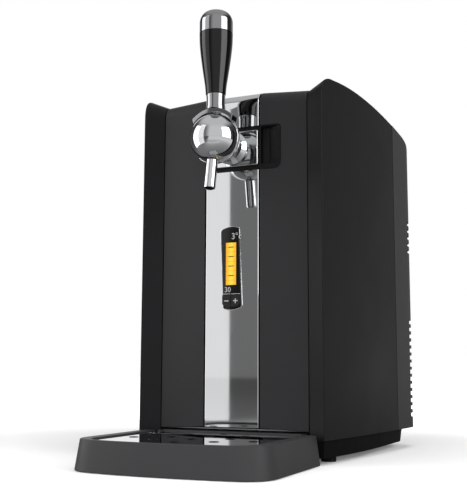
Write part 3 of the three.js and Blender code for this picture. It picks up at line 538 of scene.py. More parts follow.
# Each plastic has its darkest and lightest tone and its smoothest and roughest sheen
plastic("dark_plastic", (0.0068, 0.0068, 0.0075), (0.0090, 0.0090, 0.0099), (0.42, 0.52), level=0.14)
# Lighter copy of dark_plastic for the front panels: painted light, as the front is lit more than the wings
plastic("panel_plastic_painted_lighter", (0.0150, 0.0150, 0.0162), (0.0185, 0.0185, 0.0198), (0.44, 0.54), level=0.28)
# Lighter copy of dark_plastic for the tray: painted light standing for the floor's bounce
plastic("tray_plastic_painted_lighter", (0.026, 0.026, 0.0275), (0.031, 0.031, 0.0325), (0.46, 0.56))
plastic("cover_plastic", (0.027, 0.027, 0.028), (0.033, 0.033, 0.034), (0.5, 0.6),
        scale=1100.0, strength=0.35, level=0.2)
plastic("base_plastic", (0.003, 0.003, 0.0035), (0.005, 0.005, 0.0055), (0.5, 0.62),
        scale=1100.0, strength=0.35, level=0.06)
plastic("black_plastic", (0.003, 0.003, 0.0035), (0.005, 0.005, 0.005), (0.4, 0.5),
        scale=1600.0, strength=0.15, level=0.2)
plastic("gloss_black", (0.0022, 0.0022, 0.0022), (0.0032, 0.0032, 0.0032), (0.05, 0.09),
        scale=300.0, strength=0.008, level=0.4, pits=0.0)
plastic("key_plastic", (0.009, 0.009, 0.009), (0.012, 0.012, 0.012), (0.3, 0.4), scale=1600.0, strength=0.1)
plastic("rubber", (0.008, 0.008, 0.008), (0.014, 0.014, 0.014), (0.75, 0.9),
        scale=700.0, strength=0.5, level=0.2)
plastic("foam", (0.66, 0.64, 0.58), (0.78, 0.76, 0.70), (0.85, 0.95), scale=260.0, strength=0.9, pits=1.0)
plastic("liner_plastic", (0.27, 0.28, 0.29), (0.32, 0.33, 0.34), (0.35, 0.45), scale=900.0, strength=0.15)
plastic("circuit_board", (0.012, 0.07, 0.028), (0.018, 0.10, 0.04), (0.3, 0.4), scale=500.0, strength=0.2)
plastic("ceramic", (0.62, 0.61, 0.58), (0.7, 0.69, 0.66), (0.5, 0.6), scale=900.0, strength=0.2)
plastic("print_grey", (0.36, 0.36, 0.34), (0.44, 0.44, 0.42), (0.4, 0.5), scale=900.0, strength=0.1)
metal("chrome", (0.70, 0.71, 0.72), (0.75, 0.76, 0.77), (0.03, 0.06))
# Darker copy of chrome for the handle's crescent, collar and cap: painted shade standing for darker
# reflections
metal("chrome_painted_darker", (0.33, 0.335, 0.34), (0.37, 0.375, 0.38), (0.03, 0.06))
metal("polished_steel", (0.64, 0.65, 0.655), (0.69, 0.70, 0.705), (0.03, 0.042), (900.0, 900.0, 5.0))
metal("plate_steel", (0.58, 0.59, 0.60), (0.64, 0.65, 0.66), (0.025, 0.04), (5.0, 700.0, 700.0))
metal("steel", (0.46, 0.46, 0.47), (0.54, 0.54, 0.55), (0.28, 0.38), (300.0, 300.0, 20.0), 0.2)
metal("aluminium", (0.52, 0.53, 0.54), (0.6, 0.61, 0.62), (0.3, 0.42), (20.0, 500.0, 500.0), 0.25)
glow("amber_glow", (1.0, 0.46, 0.008), (1.0, 0.72, 0.06), 6.0)
glow("amber_shade", (0.75, 0.28, 0.003), (0.8, 0.42, 0.01), 6.0)

# The solids that stay get the finish of their slot
slots = {row["node"]: row["material_slot"] for row in frame["record"]["subparts"]}
for node, solid in frame["nodes"].items():
    if not solid.material_slots:
        solid.data.materials.append(None)
    for seat in solid.material_slots:
        seat.material = materials[slots[node]]


# Side wings: a sheet from the channel over the ridge and down the side
def closing_share(row, rows):
    """Even rows at first that close up towards the last, where a bend begins."""
    return 1 - (1 - row / rows) ** 1.5


FRONT_ROWS, NOSE_ROWS, CROWN_ROWS = 14, 12, 14
FLAT_ROWS, ROUND_ROWS = 3, 5


def ridge_rows():
    """Matching points of the wings' edge and of the ribbon, up the front and over the top."""
    lift = (RIBBON_NOSE[0][1] - SHELL_BOTTOM) / (WING_NOSE[0][1] - SHELL_BOTTOM)
    wing, ribbon = [], []
    for j in range(FRONT_ROWS + 1):
        height = SHELL_BOTTOM + (WING_NOSE[0][1] - SHELL_BOTTOM) * closing_share(j, FRONT_ROWS)
        wing.append((0.0, height))
        ribbon.append((RIBBON_FRONT, SHELL_BOTTOM + (height - SHELL_BOTTOM) * lift))
    seam_share = share_at(WING_CROWN, SEAM - SEAM_GAP)
    for line, nose, crown in ((wing, WING_NOSE, WING_CROWN), (ribbon, RIBBON_NOSE, RIBBON_CROWN)):
        line += bend(nose, NOSE_ROWS)[1:] + bend(crown, CROWN_ROWS, 0, seam_share)[1:]
    return wing, ribbon


def inset_line(line, distance):
    """A line of the side view moved inwards; its last point is moved straight down."""
    moved = []
    for i, (depth, height) in enumerate(line):
        before, after = line[max(i - 1, 0)], line[min(i + 1, len(line) - 1)]
        along = Vector((after[0] - before[0], after[1] - before[1])).normalized()
        if i == len(line) - 1:
            along = Vector((1, 0))
        moved.append((depth + along.y * distance, height - along.x * distance))
    return moved


def side_wing():
    """The right wing: its returned inner edge, the channel, the rounded ridge and the side."""
    wing, ribbon = ridge_rows()
    back, down = fall_back(CHANNEL_HALF)
    inset = inset_line(wing[FRONT_ROWS:], WING_ROUND)
    inset = [(WING_ROUND, height) for _, height in wing[:FRONT_ROWS]] + inset
    inset[FRONT_ROWS] = (WING_ROUND, wing[FRONT_ROWS][1])
    deep = inset_line(ribbon, RETURN_DEPTH)

    def on_splay(i, j):
        if j == 0:
            return at(CHANNEL_HALF + SEAT_GAP, deep[i][0] + back, deep[i][1] + down)
        inner = at(CHANNEL_HALF, ribbon[i][0] + back, ribbon[i][1] + down)
        ridge = at(half_width(wing[i][0]), *wing[i])
        side = at(half_width(inset[i][0]), *inset[i])
        start = ridge + (inner - ridge).normalized() * WING_ROUND * MM
        if j <= FLAT_ROWS + 1:
            return inner.lerp(start, (j - 1) / FLAT_ROWS)
        share = (j - FLAT_ROWS - 1) / ROUND_ROWS
        return start.lerp(ridge, share).lerp(ridge.lerp(side, share), share)

    splay = shape_grid("wing splay", len(wing) - 1, 1 + FLAT_ROWS + ROUND_ROWS, on_splay)
    crown = inset[FRONT_ROWS:]

    def on_side(i, j):
        depth, top = crown[i]
        height = SHELL_BOTTOM + (top - SHELL_BOTTOM) * closing_share(j, FRONT_ROWS)
        return at(half_width(depth), depth, height)

    side = shape_grid("wing side", len(crown) - 1, FRONT_ROWS, on_side)
    shell = merge_pieces(splay, side)
    face_towards(shell, (1, 0, 0))
    thicken(shell, WING_WALL, even=False)
    return shell


right_wing = side_wing()
for side, wing in (("right", right_wing), ("left", mirrored(right_wing, "left_wing"))):
    finish(wing, f"{side}_wing", "chassis", "dark_plastic", f"side_shell_{side}")


def seam_lip():
    """A dark strip that fills the joint between a wing and the rear cover, just under the surface."""
    ridge = point_at(WING_CROWN, share_at(WING_CROWN, SEAM))[1]
    columns, rows = 4, 12
    front = SEAM - SEAM_GAP - LIP_OVERLAP
    width = SEAM_GAP + SEAT_GAP + 2 * LIP_OVERLAP
    foot = SHELL_BOTTOM + 0.5
    top = ridge - 1

    def on_lip(i, j):
        depth = front + width * i / columns
        return at(half_width(depth) - LIP_SINK, depth, foot + (top - foot) * j / rows)

    lip = shape_grid("seam lip", columns, rows, on_lip)
    face_towards(lip, (1, 0, 0))
    thicken(lip, LIP_WALL)
    return lip


right_lip = seam_lip()
for side, lip in (("right", right_lip), ("left", mirrored(right_lip, "left_lip"))):
    finish(lip, f"seam_lip_{side}", "chassis", "black_plastic")

# Rear cover: a wall round the back, a top that dips between the ridges, and its vents
SLOT_PITCH = 8.9
SLOT_HEIGHT = 5.2
GRILLE_MIDDLE = 180


def slots_from(lowest, count):
    """The lower edges of a row of vent slots."""
    return [lowest + i * SLOT_PITCH for i in range(count)]


LOWER_SLOTS = slots_from(36.9, 14)
UPPER_SLOTS = slots_from(243.4, 5)
GRILLE_SLOTS = slots_from(GRILLE_MIDDLE - 4 * SLOT_PITCH - SLOT_HEIGHT / 2, 9)
SLOT_FRONT = 254.0
SLOT_REAR = 66.0
GRILLE_HALF = 40.0
INLET_HALF = 15.3
INLET_LOW, INLET_HIGH = 69.7, 92.3
STRAIGHT_TOP = 328.0
REAR_TOP = 334.4
SCREW_SPOTS = [(across, height) for height in (60, 308) for across in (57, -57)]


def in_slot(height, slots):
    return any(low < height < low + SLOT_HEIGHT for low in slots)


def is_open(x, y, z):
    """True where a face of the rear cover belongs to a vent or to the mains inlet."""
    if y > SLOT_FRONT and abs(x) > SLOT_REAR and z < STRAIGHT_TOP:
        return in_slot(z, LOWER_SLOTS + UPPER_SLOTS)
    if y > BODY_DEPTH - 1 and abs(x) < INLET_HALF and INLET_LOW < z < INLET_HIGH:
        return True
    return y > BODY_DEPTH - 1 and abs(x) < GRILLE_HALF and in_slot(z, GRILLE_SLOTS)


def rear_line(crown, tail):
    """A line of the side view from the seam over the top and down to the rear."""
    shares = [share_at(WING_CROWN, depth) for depth in (SEAM + SEAT_GAP, 212, 225)]
    turn_in = share_at(WING_TAIL, SLOT_FRONT)
    line = [point_at(crown, share) for share in shares]
    return line + bend(tail, 4, 0, turn_in) + bend(tail, 12, turn_in)[1:]


def cover_shell():
    """The cover: its wall from one seam round the back to the other, and its dipping top."""
    wing = rear_line(WING_CROWN, WING_TAIL)
    ribbon = rear_line(RIBBON_CROWN, RIBBON_TAIL)
    half = [CHANNEL_HALF, SLOT_REAR, GRILLE_HALF, INLET_HALF]
    across = half + [-x for x in reversed(half)]
    back, down = fall_back(CHANNEL_HALF)
    columns = [(half_width(y), y, z) for y, z in wing]
    columns += [(x, BODY_DEPTH, REAR_TOP) for x in across]
    columns += [(-half_width(y), y, z) for y, z in reversed(wing)]
    levels = {SHELL_BOTTOM, INLET_LOW, INLET_HIGH, STRAIGHT_TOP}
    for low in LOWER_SLOTS + UPPER_SLOTS + GRILLE_SLOTS:
        levels |= {round(low, 4), round(low + SLOT_HEIGHT, 4)}
    levels = sorted(levels)
    upper = 4

    def on_wall(i, j):
        x, y, top = columns[i]
        if j < len(levels):
            return at(x, y, levels[j])
        share = (j - len(levels) + 1) / upper
        return at(x, y, STRAIGHT_TOP + (top - STRAIGHT_TOP) * share)

    wall = shape_grid("cover wall", len(columns) - 1, len(levels) - 1 + upper, on_wall)

    def on_top(i, j):
        depth, height = ribbon[j]
        fade = 1 - smoothstep(wing[j][0], SEAM, BODY_DEPTH)
        if i in (0, len(across) + 1):
            side = 1 if i == 0 else -1
            return at(side * half_width(wing[j][0]), *wing[j])
        return at(across[i - 1], depth + back * fade, height + down * fade)

    top = shape_grid("cover top", len(across) + 1, len(wing) - 1, on_top)
    shell = merge_pieces(wall, top)
    face_towards(shell, (0, 1, 0))
    slice_off(shell, at(0, BODY_DEPTH - TAIL_CHAMFER, SHELL_BOTTOM), (0, 1, -1))
    soften(shell, 1.2, angle=30)
    delete_faces(shell, is_open)
    thicken(shell, WALL)
    return shell


cover = cover_shell()
for across, height in SCREW_SPOTS:
    hole = turn("screw hole", [(0, -4), (3.8, -4), (3.8, 2), (0, 2)], (0, 1, 0),
                at(across, BODY_DEPTH, height), 24)
    cut(cover, hole)
finish(cover, "cover_shell", "chassis", "cover_plastic", "rear_cover")


def cover_screw(number, across, height):
    """A domed screw head with a cross recess, on its shaft."""
    spot = at(across, BODY_DEPTH, height)
    screw = turn("screw", [(0, -11.7), (1.6, -11.7), (1.6, -1.5), (3.3, -1.5), (3.5, -1.2),
                           (3.3, -0.5), (2.2, -0.1), (0, 0)], (0, 1, 0), spot, 24)
    for wide, high in ((4.2, 0.9), (0.9, 4.2)):
        cut(screw, box("recess", across - wide / 2, across + wide / 2, BODY_DEPTH - 1, BODY_DEPTH + 1,
                       height - high / 2, height + high / 2))
    finish(screw, f"back_screw_{number}", "chassis", "steel", f"cover_screw_{number}")


for number, (across, height) in enumerate(SCREW_SPOTS, 1):
    cover_screw(number, across, height)

# Ribbon of the hood: two panels beside a mirror-polished strip
def ribbon_line(foot, top, rear=None):
    """The ribbon's middle line up its front, and over the nose back to a depth if one is given."""
    rows, steps = 12, 16
    line = [(RIBBON_FRONT, foot + (top - foot) * closing_share(j, rows)) for j in range(rows + 1)]
    if rear:
        line += bend(RIBBON_NOSE, steps)[1:]
        line += bend(RIBBON_CROWN, steps, 0, share_at(RIBBON_CROWN, rear))[1:]
    return line


PANEL_INNER = STRIP_HALF + 1.5
PANEL_WALL = 3.0
STRIP_WALL = 0.9
BEZEL_LOW, BEZEL_HIGH = 309.8, 358.2
BEZEL_FRONT, BEZEL_REAR = 12.0, 27.0
BEZEL_RIGHT = 56.2
LOW_CORNER, HIGH_CORNER = 9, 5
ROOM_FRONT, ROOM_DEPTH = 5, 12


def bezel_outline(grow, depth):
    """From the strip's left edge to the rounded corners at its right."""
    low, high, right = BEZEL_LOW - grow, BEZEL_HIGH + grow, BEZEL_RIGHT + grow
    outline = [(-STRIP_HALF, low)]
    outline += bend(((right - LOW_CORNER, low), (right, low), (right, low + LOW_CORNER)), 8)
    outline += bend(((right, high - HIGH_CORNER), (right, high), (right - HIGH_CORNER, high)), 8)
    outline += [(-STRIP_HALF, high)]
    return upright(outline, depth)


def front_panel(name):
    """The panel at the right of the strip, cut off at the hood's rear."""
    line = ribbon_line(RIBBON_BOTTOM, RIBBON_NOSE[0][1], HOOD_REAR + 4)
    columns = 6

    def on_panel(i, j):
        x = PANEL_INNER + (PANEL_HALF - PANEL_INNER) * j / columns
        back, down = fall_back(x)
        return at(x, line[i][0] + back, line[i][1] + down)

    sheet = shape_grid(name, len(line) - 1, columns, on_panel)
    face_towards(sheet, (0, -1, 0.2))
    slice_off(sheet, at(0, HOOD_REAR, 0), (0, 1, 0))
    thicken(sheet, PANEL_WALL)
    return sheet


right_panel = front_panel("right_panel")
left_panel = mirrored(right_panel, "left_panel")
cut(right_panel, draw_block("bezel room", bezel_outline(SEAT_GAP, ROOM_FRONT), back_by(25)))
# The front panels get a lighter copy of the wings' dark plastic: painted light
for side, panel in (("right", right_panel), ("left", left_panel)):
    soften(panel, 0.7)
    finish(panel, f"{side}_front_panel", "hood", "panel_plastic_painted_lighter", f"hood_panel_{side}", slot="dark_plastic")


def steel_strip(name, line, node, window=None):
    """A length of polished strip with rolled edges, and with a window cut in it if one is given."""
    roll = 1.1
    steps = 5
    flat = STRIP_HALF - roll
    places = [-STRIP_HALF + roll * (1 - math.cos(math.pi / 2 * k / steps)) for k in range(steps)]
    places += [-flat, -flat / 2, 0, flat / 2, flat]
    places += [-x for x in reversed(places[:steps])]

    def on_strip(i, j):
        x = places[j]
        beyond = max(abs(x) - flat, 0)
        sunk = roll - math.sqrt(max(roll * roll - beyond * beyond, 0))
        before = Vector(line[max(i - 1, 0)])
        after = Vector(line[min(i + 1, len(line) - 1)])
        run = (after - before).normalized()
        inward = Vector((run.y, -run.x))
        depth, height = Vector(line[i]) + inward * sunk
        return at(x, depth, height)

    sheet = shape_grid(name, len(line) - 1, len(places) - 1, on_strip)
    face_towards(sheet, (0, -1, 0.2))
    thicken(sheet, STRIP_WALL)
    if window:
        cut(sheet, window)
    finish(sheet, name, "hood", "polished_steel", node, angle=40)


# Display window and keys
DISPLAY_FRONT = 7.9
STRIP_BACK = RIBBON_FRONT + 1.2
DISPLAY_HALF = 12
DISPLAY_LOW, DISPLAY_HIGH = 158.6, 247.8
DISPLAY_CORNER, END_BOW, CORNER_BOW = 3.0, 1.9, 0.9
KEY_FRONT = DISPLAY_FRONT - 0.25
KEY_NEAR, KEY_FAR = 0.45, 10.3
KEY_LOW, KEY_HIGH = 161.4, 174.0


def pill_outline(grow, depth):
    """Upright window with bowed ends and rounded corners."""
    half = DISPLAY_HALF + grow
    outline = []
    for side, end, bow in ((1, DISPLAY_LOW - grow, -1), (-1, DISPLAY_HIGH + grow, 1)):
        x, z = side * (half - DISPLAY_CORNER - grow), end - bow * END_BOW
        outline += bend(((-x, z), (0, end + bow * END_BOW), (x, z)), 10)
        control, last = z - bow * CORNER_BOW, end - bow * 2 * DISPLAY_CORNER
        outline += bend(((x, z), (side * half, control), (side * half, last)), 6)[1:]
    return upright(outline, depth)


def key_outline(side, grow, depth):
    """A key that fills its half of the window's foot, with its outer lower corner cut off."""
    near, far = KEY_NEAR - grow, KEY_FAR + grow
    low, high = KEY_LOW - grow, KEY_HIGH + grow
    corners = [(near, low - 0.6), (near, high), (far, high), (far, low + 3.2), (far - 2.2, low + 0.6)]
    return [at(side * x, depth, z) for x, z in corners]


window = draw_block("window room", pill_outline(0.25, ROOM_FRONT), back_by(ROOM_DEPTH))
lower_line = ribbon_line(RIBBON_BOTTOM, BEZEL_LOW - SEAT_GAP)
upper_line = ribbon_line(BEZEL_HIGH + SEAT_GAP, RIBBON_NOSE[0][1], HOOD_REAR)
steel_strip("strip_lower_length", lower_line, "hood_strip_lower", window)
steel_strip("strip_upper_length", upper_line, "hood_strip_upper")

display = draw_block("display", pill_outline(0, DISPLAY_FRONT), back_by(STRIP_BACK - DISPLAY_FRONT))
soften(display, 0.9, 4)
for side in (1, -1):
    cut(display, draw_block("key room", key_outline(side, 0.22, ROOM_FRONT), back_by(ROOM_DEPTH)))
finish(display, "display_window", "hood", "gloss_black", "display_module")

rim = draw_block("rim", pill_outline(1.15, DISPLAY_FRONT + 0.75), back_by(0.95))
cut(rim, draw_block("rim room", pill_outline(0.12, ROOM_FRONT), back_by(ROOM_DEPTH)))
soften(rim, 0.3)
finish(rim, "display_rim", "hood", "chrome")


# Printed signs: how far they stand proud and reach in, and the places and sizes of their bars
SIGN_PROUD, SIGN_SUNK = 0.06, 0.1
SIGN_ACROSS, SIGN_HEIGHT = 5.3, 167.75
SIGN_REACH, SIGN_HALF, SIGN_ARM = 2.6, 0.5, 2.15
BAR_LOW, BAR_HIGH, BAR_COUNT = 184.7, 231.0, 9
BAR_HALF, BAR_GAP = 6, 0.22


def sign_bars(name, bars, front, body, material, slot):
    """Printed marks: thin raised bars given as (x0, x1, z0, z1)."""
    pieces = [box("bar", x0, x1, front - SIGN_PROUD, front + SIGN_SUNK, z0, z1) for x0, x1, z0, z1 in bars]
    marks = merge_pieces(pieces[0], *pieces[1:]) if len(pieces) > 1 else pieces[0]
    finish(marks, name, body, material, slot=slot)


for word, side in (("minus", -1), ("plus", 1)):
    key = draw_block("key", key_outline(side, 0, KEY_FRONT), back_by(STRIP_BACK - KEY_FRONT - 0.5))
    soften(key, 0.35)
    finish(key, f"{word}_button", f"{word}_key", "key_plastic", f"{word}_key", slot="black_plastic")
    x, low, high = side * SIGN_ACROSS, SIGN_HEIGHT - SIGN_HALF, SIGN_HEIGHT + SIGN_HALF
    bars = [(x - SIGN_REACH, x + SIGN_REACH, low, high)]
    if word == "plus":
        bars += [(x - SIGN_HALF, x + SIGN_HALF, low - SIGN_ARM, low),
                 (x - SIGN_HALF, x + SIGN_HALF, high, high + SIGN_ARM)]
    sign_bars(f"{word}_sign", bars, KEY_FRONT, f"{word}_key", "print_grey", "black_plastic")

pitch = (BAR_HIGH - BAR_LOW) / BAR_COUNT
levels = [BAR_LOW + i * pitch for i in range(BAR_COUNT)]
bars = [(-BAR_HALF, BAR_HALF, z + BAR_GAP, z + pitch - BAR_GAP) for z in levels]
sign_bars("level_bars", bars, DISPLAY_FRONT, "hood", "amber_glow", "gloss_black")
bars = [(-3, 3, z - 0.45, z + 0.45) for z in levels[2::2]]
sign_bars("level_dashes", bars, DISPLAY_FRONT - 0.05, "hood", "black_plastic", "gloss_black")
bars = [(-BAR_HALF + 0.1, BAR_HALF - 0.1, z - 0.25, z + 0.25) for z in levels[1:]]
sign_bars("level_ground", bars, DISPLAY_FRONT + 0.02, "hood", "amber_shade", "gloss_black")
bars = [(-10.6, -0.7, 175.0, 175.5), (0.7, 10.6, 175.0, 175.5)]
sign_bars("key_lines", bars, DISPLAY_FRONT, "hood", "print_grey", "gloss_black")


def figures(name, words, size, x, z):
    """Upright figures on the window's face."""
    deselect()
    bpy.ops.object.text_add(location=(0, 0, 0), rotation=(0, 0, 0))
    text = bpy.context.object
    text.data.body = words
    text.data.size = size * MM
    text.data.extrude = SIGN_PROUD * MM
    bpy.ops.object.convert(target="MESH")
    text = bpy.context.object
    text.data.transform(Matrix.Translation(at(x, DISPLAY_FRONT, z)) @ Matrix.Rotation(math.pi / 2, 4, "X"))
    tidy_mesh(text)
    finish(text, name, "hood", "print_grey", slot="gloss_black")


figures("degree_figures", "3°c", 9.4, 0.2, 234.6)
figures("volume_figures", "30", 7.6, -7.6, 177.3)

# Finger bezel, base plate and tap
POCKET_LOW, POCKET_HIGH = BEZEL_LOW + 6.2, BEZEL_HIGH - 0.9
POCKET_LEFT, POCKET_RIGHT, FLOOR_RIGHT = 33, 56.6, 41.4
POCKET_DEPTH = 6.5

bezel = draw_block("bezel", bezel_outline(0, BEZEL_FRONT), back_by(BEZEL_REAR - BEZEL_FRONT))
mouth = rounded_box(POCKET_LEFT, POCKET_RIGHT, POCKET_LOW, POCKET_HIGH, (6, 4, 0, 0))
pocket_floor = rounded_box(POCKET_LEFT, FLOOR_RIGHT, POCKET_LOW + 0.6, POCKET_HIGH - 0.6, (4, 3, 0, 0))
pocket = draw_block("pocket", upright(mouth, BEZEL_FRONT - 1), back_by(POCKET_DEPTH + 1),
                    upright(pocket_floor, BEZEL_FRONT + POCKET_DEPTH))
cut(bezel, pocket)
soften(bezel, 0.6)
finish(bezel, "finger_bezel", "hood", "black_plastic", "grip_bezel")
pad_outline = rounded_box(POCKET_LEFT + 0.1, FLOOR_RIGHT - 0.1, POCKET_LOW + 0.7, POCKET_HIGH - 0.7,
                          (3.9, 2.9, 0, 0))
pad = draw_block("pad", upright(pad_outline, BEZEL_FRONT + POCKET_DEPTH - 0.8), back_by(0.9))
soften(pad, 0.25, 2)
finish(pad, "pocket_pad", "hood", "dark_plastic")

PLATE_HALF = STRIP_HALF - SEAT_GAP
PLATE_LOW, PLATE_HIGH = 314.6, 353.5
PLATE_FRONT, PLATE_THICK = 7.9, 3.6
plate_outline = rounded_box(-PLATE_HALF, PLATE_HALF, PLATE_LOW, PLATE_HIGH, [1.5] * 4)
plate = draw_block("plate", upright(plate_outline, PLATE_FRONT), back_by(PLATE_THICK))
soften(plate, 1.1, 4)
finish(plate, "tap_mount_plate", "hood", "chrome", "tap_base_plate")


def sphere_arc(radius, first, last, steps):
    """Profile points (radius, distance) of a ball between two angles from its front pole."""
    angles = [math.radians(first + (last - first) * i / steps) for i in range(steps + 1)]
    return [(radius * math.sin(angle), -radius * math.cos(angle)) for angle in angles]


def turn_on_ball(name, profile, steps=64):
    """A profile turned on the line that runs from front to rear through the ball."""
    return turn(name, profile, (0, 1, 0), at(0, BALL_DEPTH, TAP_HEIGHT), steps)


def ball_room():
    return turn_on_ball("ball room", sphere_arc(BALL_RADIUS + SEAT_GAP, 0, 180, 40))


def angle_at(distance, radius):
    """The angle from the front pole of a ball at a distance behind its middle."""
    return math.degrees(math.acos(-distance / radius))


# The neck behind the ball flares like a trumpet onto the plate
SHANK_START = 13.35
shank_end = 7.6 - BALL_DEPTH
length = shank_end - SHANK_START
flare = [(0, 0), (11.4, 0), (11.4, 0.30), (11.2, 0.50), (11.6, 0.64), (12.7, 0.76), (14.6, 0.87),
         (16.6, 0.94), (18.2, 0.985)]
profile = [(radius, SHANK_START + length * share) for radius, share in flare]
profile += [(18.4, shank_end - 0.15), (18.2, shank_end), (0, shank_end)]
shank = turn_on_ball("shank", profile)
cut(shank, ball_room())
finish(shank, "tap_trumpet", "hood", "chrome", "tap_shank", angle=40)

# The ball's two halves meet at a fine seam behind its middle
HOUSING_EDGE, FRONT_EDGE = 2.0, 1.7
EDGE_ANGLE = 0.8
FRONT_RADIUS = BALL_RADIUS - 0.7
start = angle_at(HOUSING_EDGE, BALL_RADIUS) + EDGE_ANGLE
profile = [(0, HOUSING_EDGE), (BALL_RADIUS - 0.6, HOUSING_EDGE)] + sphere_arc(BALL_RADIUS, start, 180, 24)
housing = turn_on_ball("housing", profile, 72)
finish(housing, "ball_housing", "hood", "chrome", "tap_housing", angle=40)
stop = angle_at(FRONT_EDGE, FRONT_RADIUS) - EDGE_ANGLE
profile = sphere_arc(FRONT_RADIUS, 0, stop, 28) + [(FRONT_RADIUS - 0.35, FRONT_EDGE), (0, FRONT_EDGE)]
front = turn_on_ball("front", profile, 72)
finish(front, "ball_front", "hood", "chrome", "tap_ball_front", angle=40)

SPOUT_TILT = math.radians(11)
spout_axis = Vector((0, -math.sin(SPOUT_TILT), -math.cos(SPOUT_TILT)))
spout_start = at(0, BALL_DEPTH - 0.7, TAP_HEIGHT)
wall = [(6.25, 13.35), (6.25, 54.4), (6.05, 56.0), (5.7, 56.6), (5.1, 56.7), (4.85, 56.2), (4.85, 13.35)]
spout = turn("spout", wall + [wall[0]], spout_axis, spout_start, 48)
cut(spout, ball_room())
finish(spout, "beer_spout", "hood", "chrome", "tap_spout", angle=40)
# A black liner in the spout's mouth: painted shade where the bore is only in shadow
bore = turn("bore", [(0, 40), (4.78, 40), (4.78, 56.3), (4.2, 56.4), (4.2, 44), (0, 44)],
            spout_axis, spout_start, 40)
finish(bore, "spout_painted_shade_liner", "hood", "black_plastic")

# Handle
YOKE_INNER, YOKE_OUTER = BALL_RADIUS + 0.6, BALL_RADIUS + 5.1
YOKE_HALF = 6.5
ROD_TOP, ROD_RADIUS = 416.95, 3
GRIP_BOTTOM, GRIP_TOP = 383.6, 450.3
GRIP_SLIM, GRIP_FULL = 10.7, 18
CAP_BOTTOM, CAP_RADIUS = 450.6, 18.0
CAP_STRAIGHT, CAP_DOME = 12, 14
SWELL = ((0, 0), (0.15, 0.13), (0.3, 0.34), (0.5, 0.61), (0.7, 0.84), (0.85, 0.96), (1, 1))


def crescent(radius, first, last, steps=40):
    """Points (x, z) on an arc over the ball, angles in degrees from the right."""
    angles = [math.radians(first + (last - first) * i / steps) for i in range(steps + 1)]
    return [(radius * math.cos(angle), TAP_HEIGHT + radius * math.sin(angle)) for angle in angles]


def turn_handle(name, profile, steps=72):
    """A profile turned on the handle's own upright line."""
    return turn(name, profile, (0, 0, 1), at(0, HANDLE_DEPTH, 0), steps)


# The crescent, collar and cap take the darker copy of chrome: painted shade
arc = crescent(YOKE_OUTER, 43, 137) + crescent(YOKE_INNER, 143, 37)
yoke = draw_block("yoke", upright(arc, BALL_DEPTH - YOKE_HALF), back_by(2 * YOKE_HALF))
soften(yoke, 0.9, angle=50)
finish(yoke, "handle_crescent", "handle", "chrome_painted_darker", "handle_yoke", slot="chrome", angle=40)

profile = [(0, 364.9), (10.3, 364.9), (10.3, 369.4), (10.05, 370.6), (9.9, 373.5), (9.9, 379), (10.25, 382.6),
           (10.0, 383.3), (ROD_RADIUS, 383.3), (ROD_RADIUS, ROD_TOP), (0, ROD_TOP)]
neck = turn_handle("neck", profile, 64)
room = YOKE_OUTER + SEAT_GAP
cut(neck, turn_on_ball("saddle", [(0, -15), (room, -15), (room, 15), (0, 15)], 96))
finish(neck, "handle_collar", "handle", "chrome_painted_darker", "handle_neck", slot="chrome", angle=40)


def grip_radius(share):
    """Slim at the foot, swelling smoothly to the cap, through measured places."""
    span = next(i for i in range(len(SWELL) - 1) if share <= SWELL[i + 1][0])
    (left, low), (right, high) = SWELL[span], SWELL[span + 1]
    before, after = SWELL[max(span - 1, 0)], SWELL[min(span + 2, len(SWELL) - 1)]
    width = right - left
    enter = (high - before[1]) / (right - before[0]) * width
    leave_by = (after[1] - low) / (after[0] - left) * width
    t = (share - left) / width
    swell = (low * (2 * t ** 3 - 3 * t ** 2 + 1) + enter * (t ** 3 - 2 * t ** 2 + t)
             + high * (3 * t ** 2 - 2 * t ** 3) + leave_by * (t ** 3 - t ** 2))
    return GRIP_SLIM + (GRIP_FULL - GRIP_SLIM) * swell


bore, rows = ROD_RADIUS + SEAT_GAP, 24
profile = [(bore, GRIP_BOTTOM), (GRIP_SLIM - 0.3, GRIP_BOTTOM)]
profile += [(grip_radius(i / rows), GRIP_BOTTOM + 0.4 + (GRIP_TOP - GRIP_BOTTOM - 0.7) * i / rows)
            for i in range(rows + 1)]
profile += [(GRIP_FULL - 0.3, GRIP_TOP), (0, GRIP_TOP), (0, ROD_TOP + SEAT_GAP), (bore, ROD_TOP + SEAT_GAP),
            (bore, GRIP_BOTTOM)]
finish(turn_handle("grip", profile), "handle_grip_black", "handle", "gloss_black", "handle_grip", angle=40)

dome, rows = CAP_BOTTOM + CAP_STRAIGHT, 20
profile = [(0, CAP_BOTTOM), (CAP_RADIUS - 0.3, CAP_BOTTOM), (CAP_RADIUS, CAP_BOTTOM + 0.35),
           (CAP_RADIUS, CAP_BOTTOM + CAP_STRAIGHT / 2), (CAP_RADIUS, dome)]
for i in range(1, rows):
    angle = math.pi / 2 * i / rows
    profile.append((CAP_RADIUS * math.cos(angle) ** 0.7, dome + CAP_DOME * math.sin(angle)))
profile.append((0, dome + CAP_DOME))
finish(turn_handle("cap", profile), "handle_cap_chrome", "handle", "chrome_painted_darker", "handle_cap",
       slot="chrome", angle=40)

# Drip tray and its perforated plate
TRAY_LIFT, TRAY_TOP = 0.6, 30.0
TRAY_REAR = -0.6
TRAY_BOW = 10.1
SEAT, DRIP_THICK = 27.1, 1.2
TONGUE_HALF, TAIL_HALF = 82, 79
TONGUE_FRONT, TONGUE_REAR, TAIL_REAR = -26.6, 26, 9.0
HOLE_PITCH, HOLE_RADIUS = 36.8, 4.5

# Half width, reach to the front and corner radius of the tray's foot and of the plate's seat
FOOT_PLAN = (101.9, 154.5, 30.2)
SEAT_PLAN = (84.9, 148.5, 24.2)


def smaller(plan, gap):
    return [size - gap for size in plan]


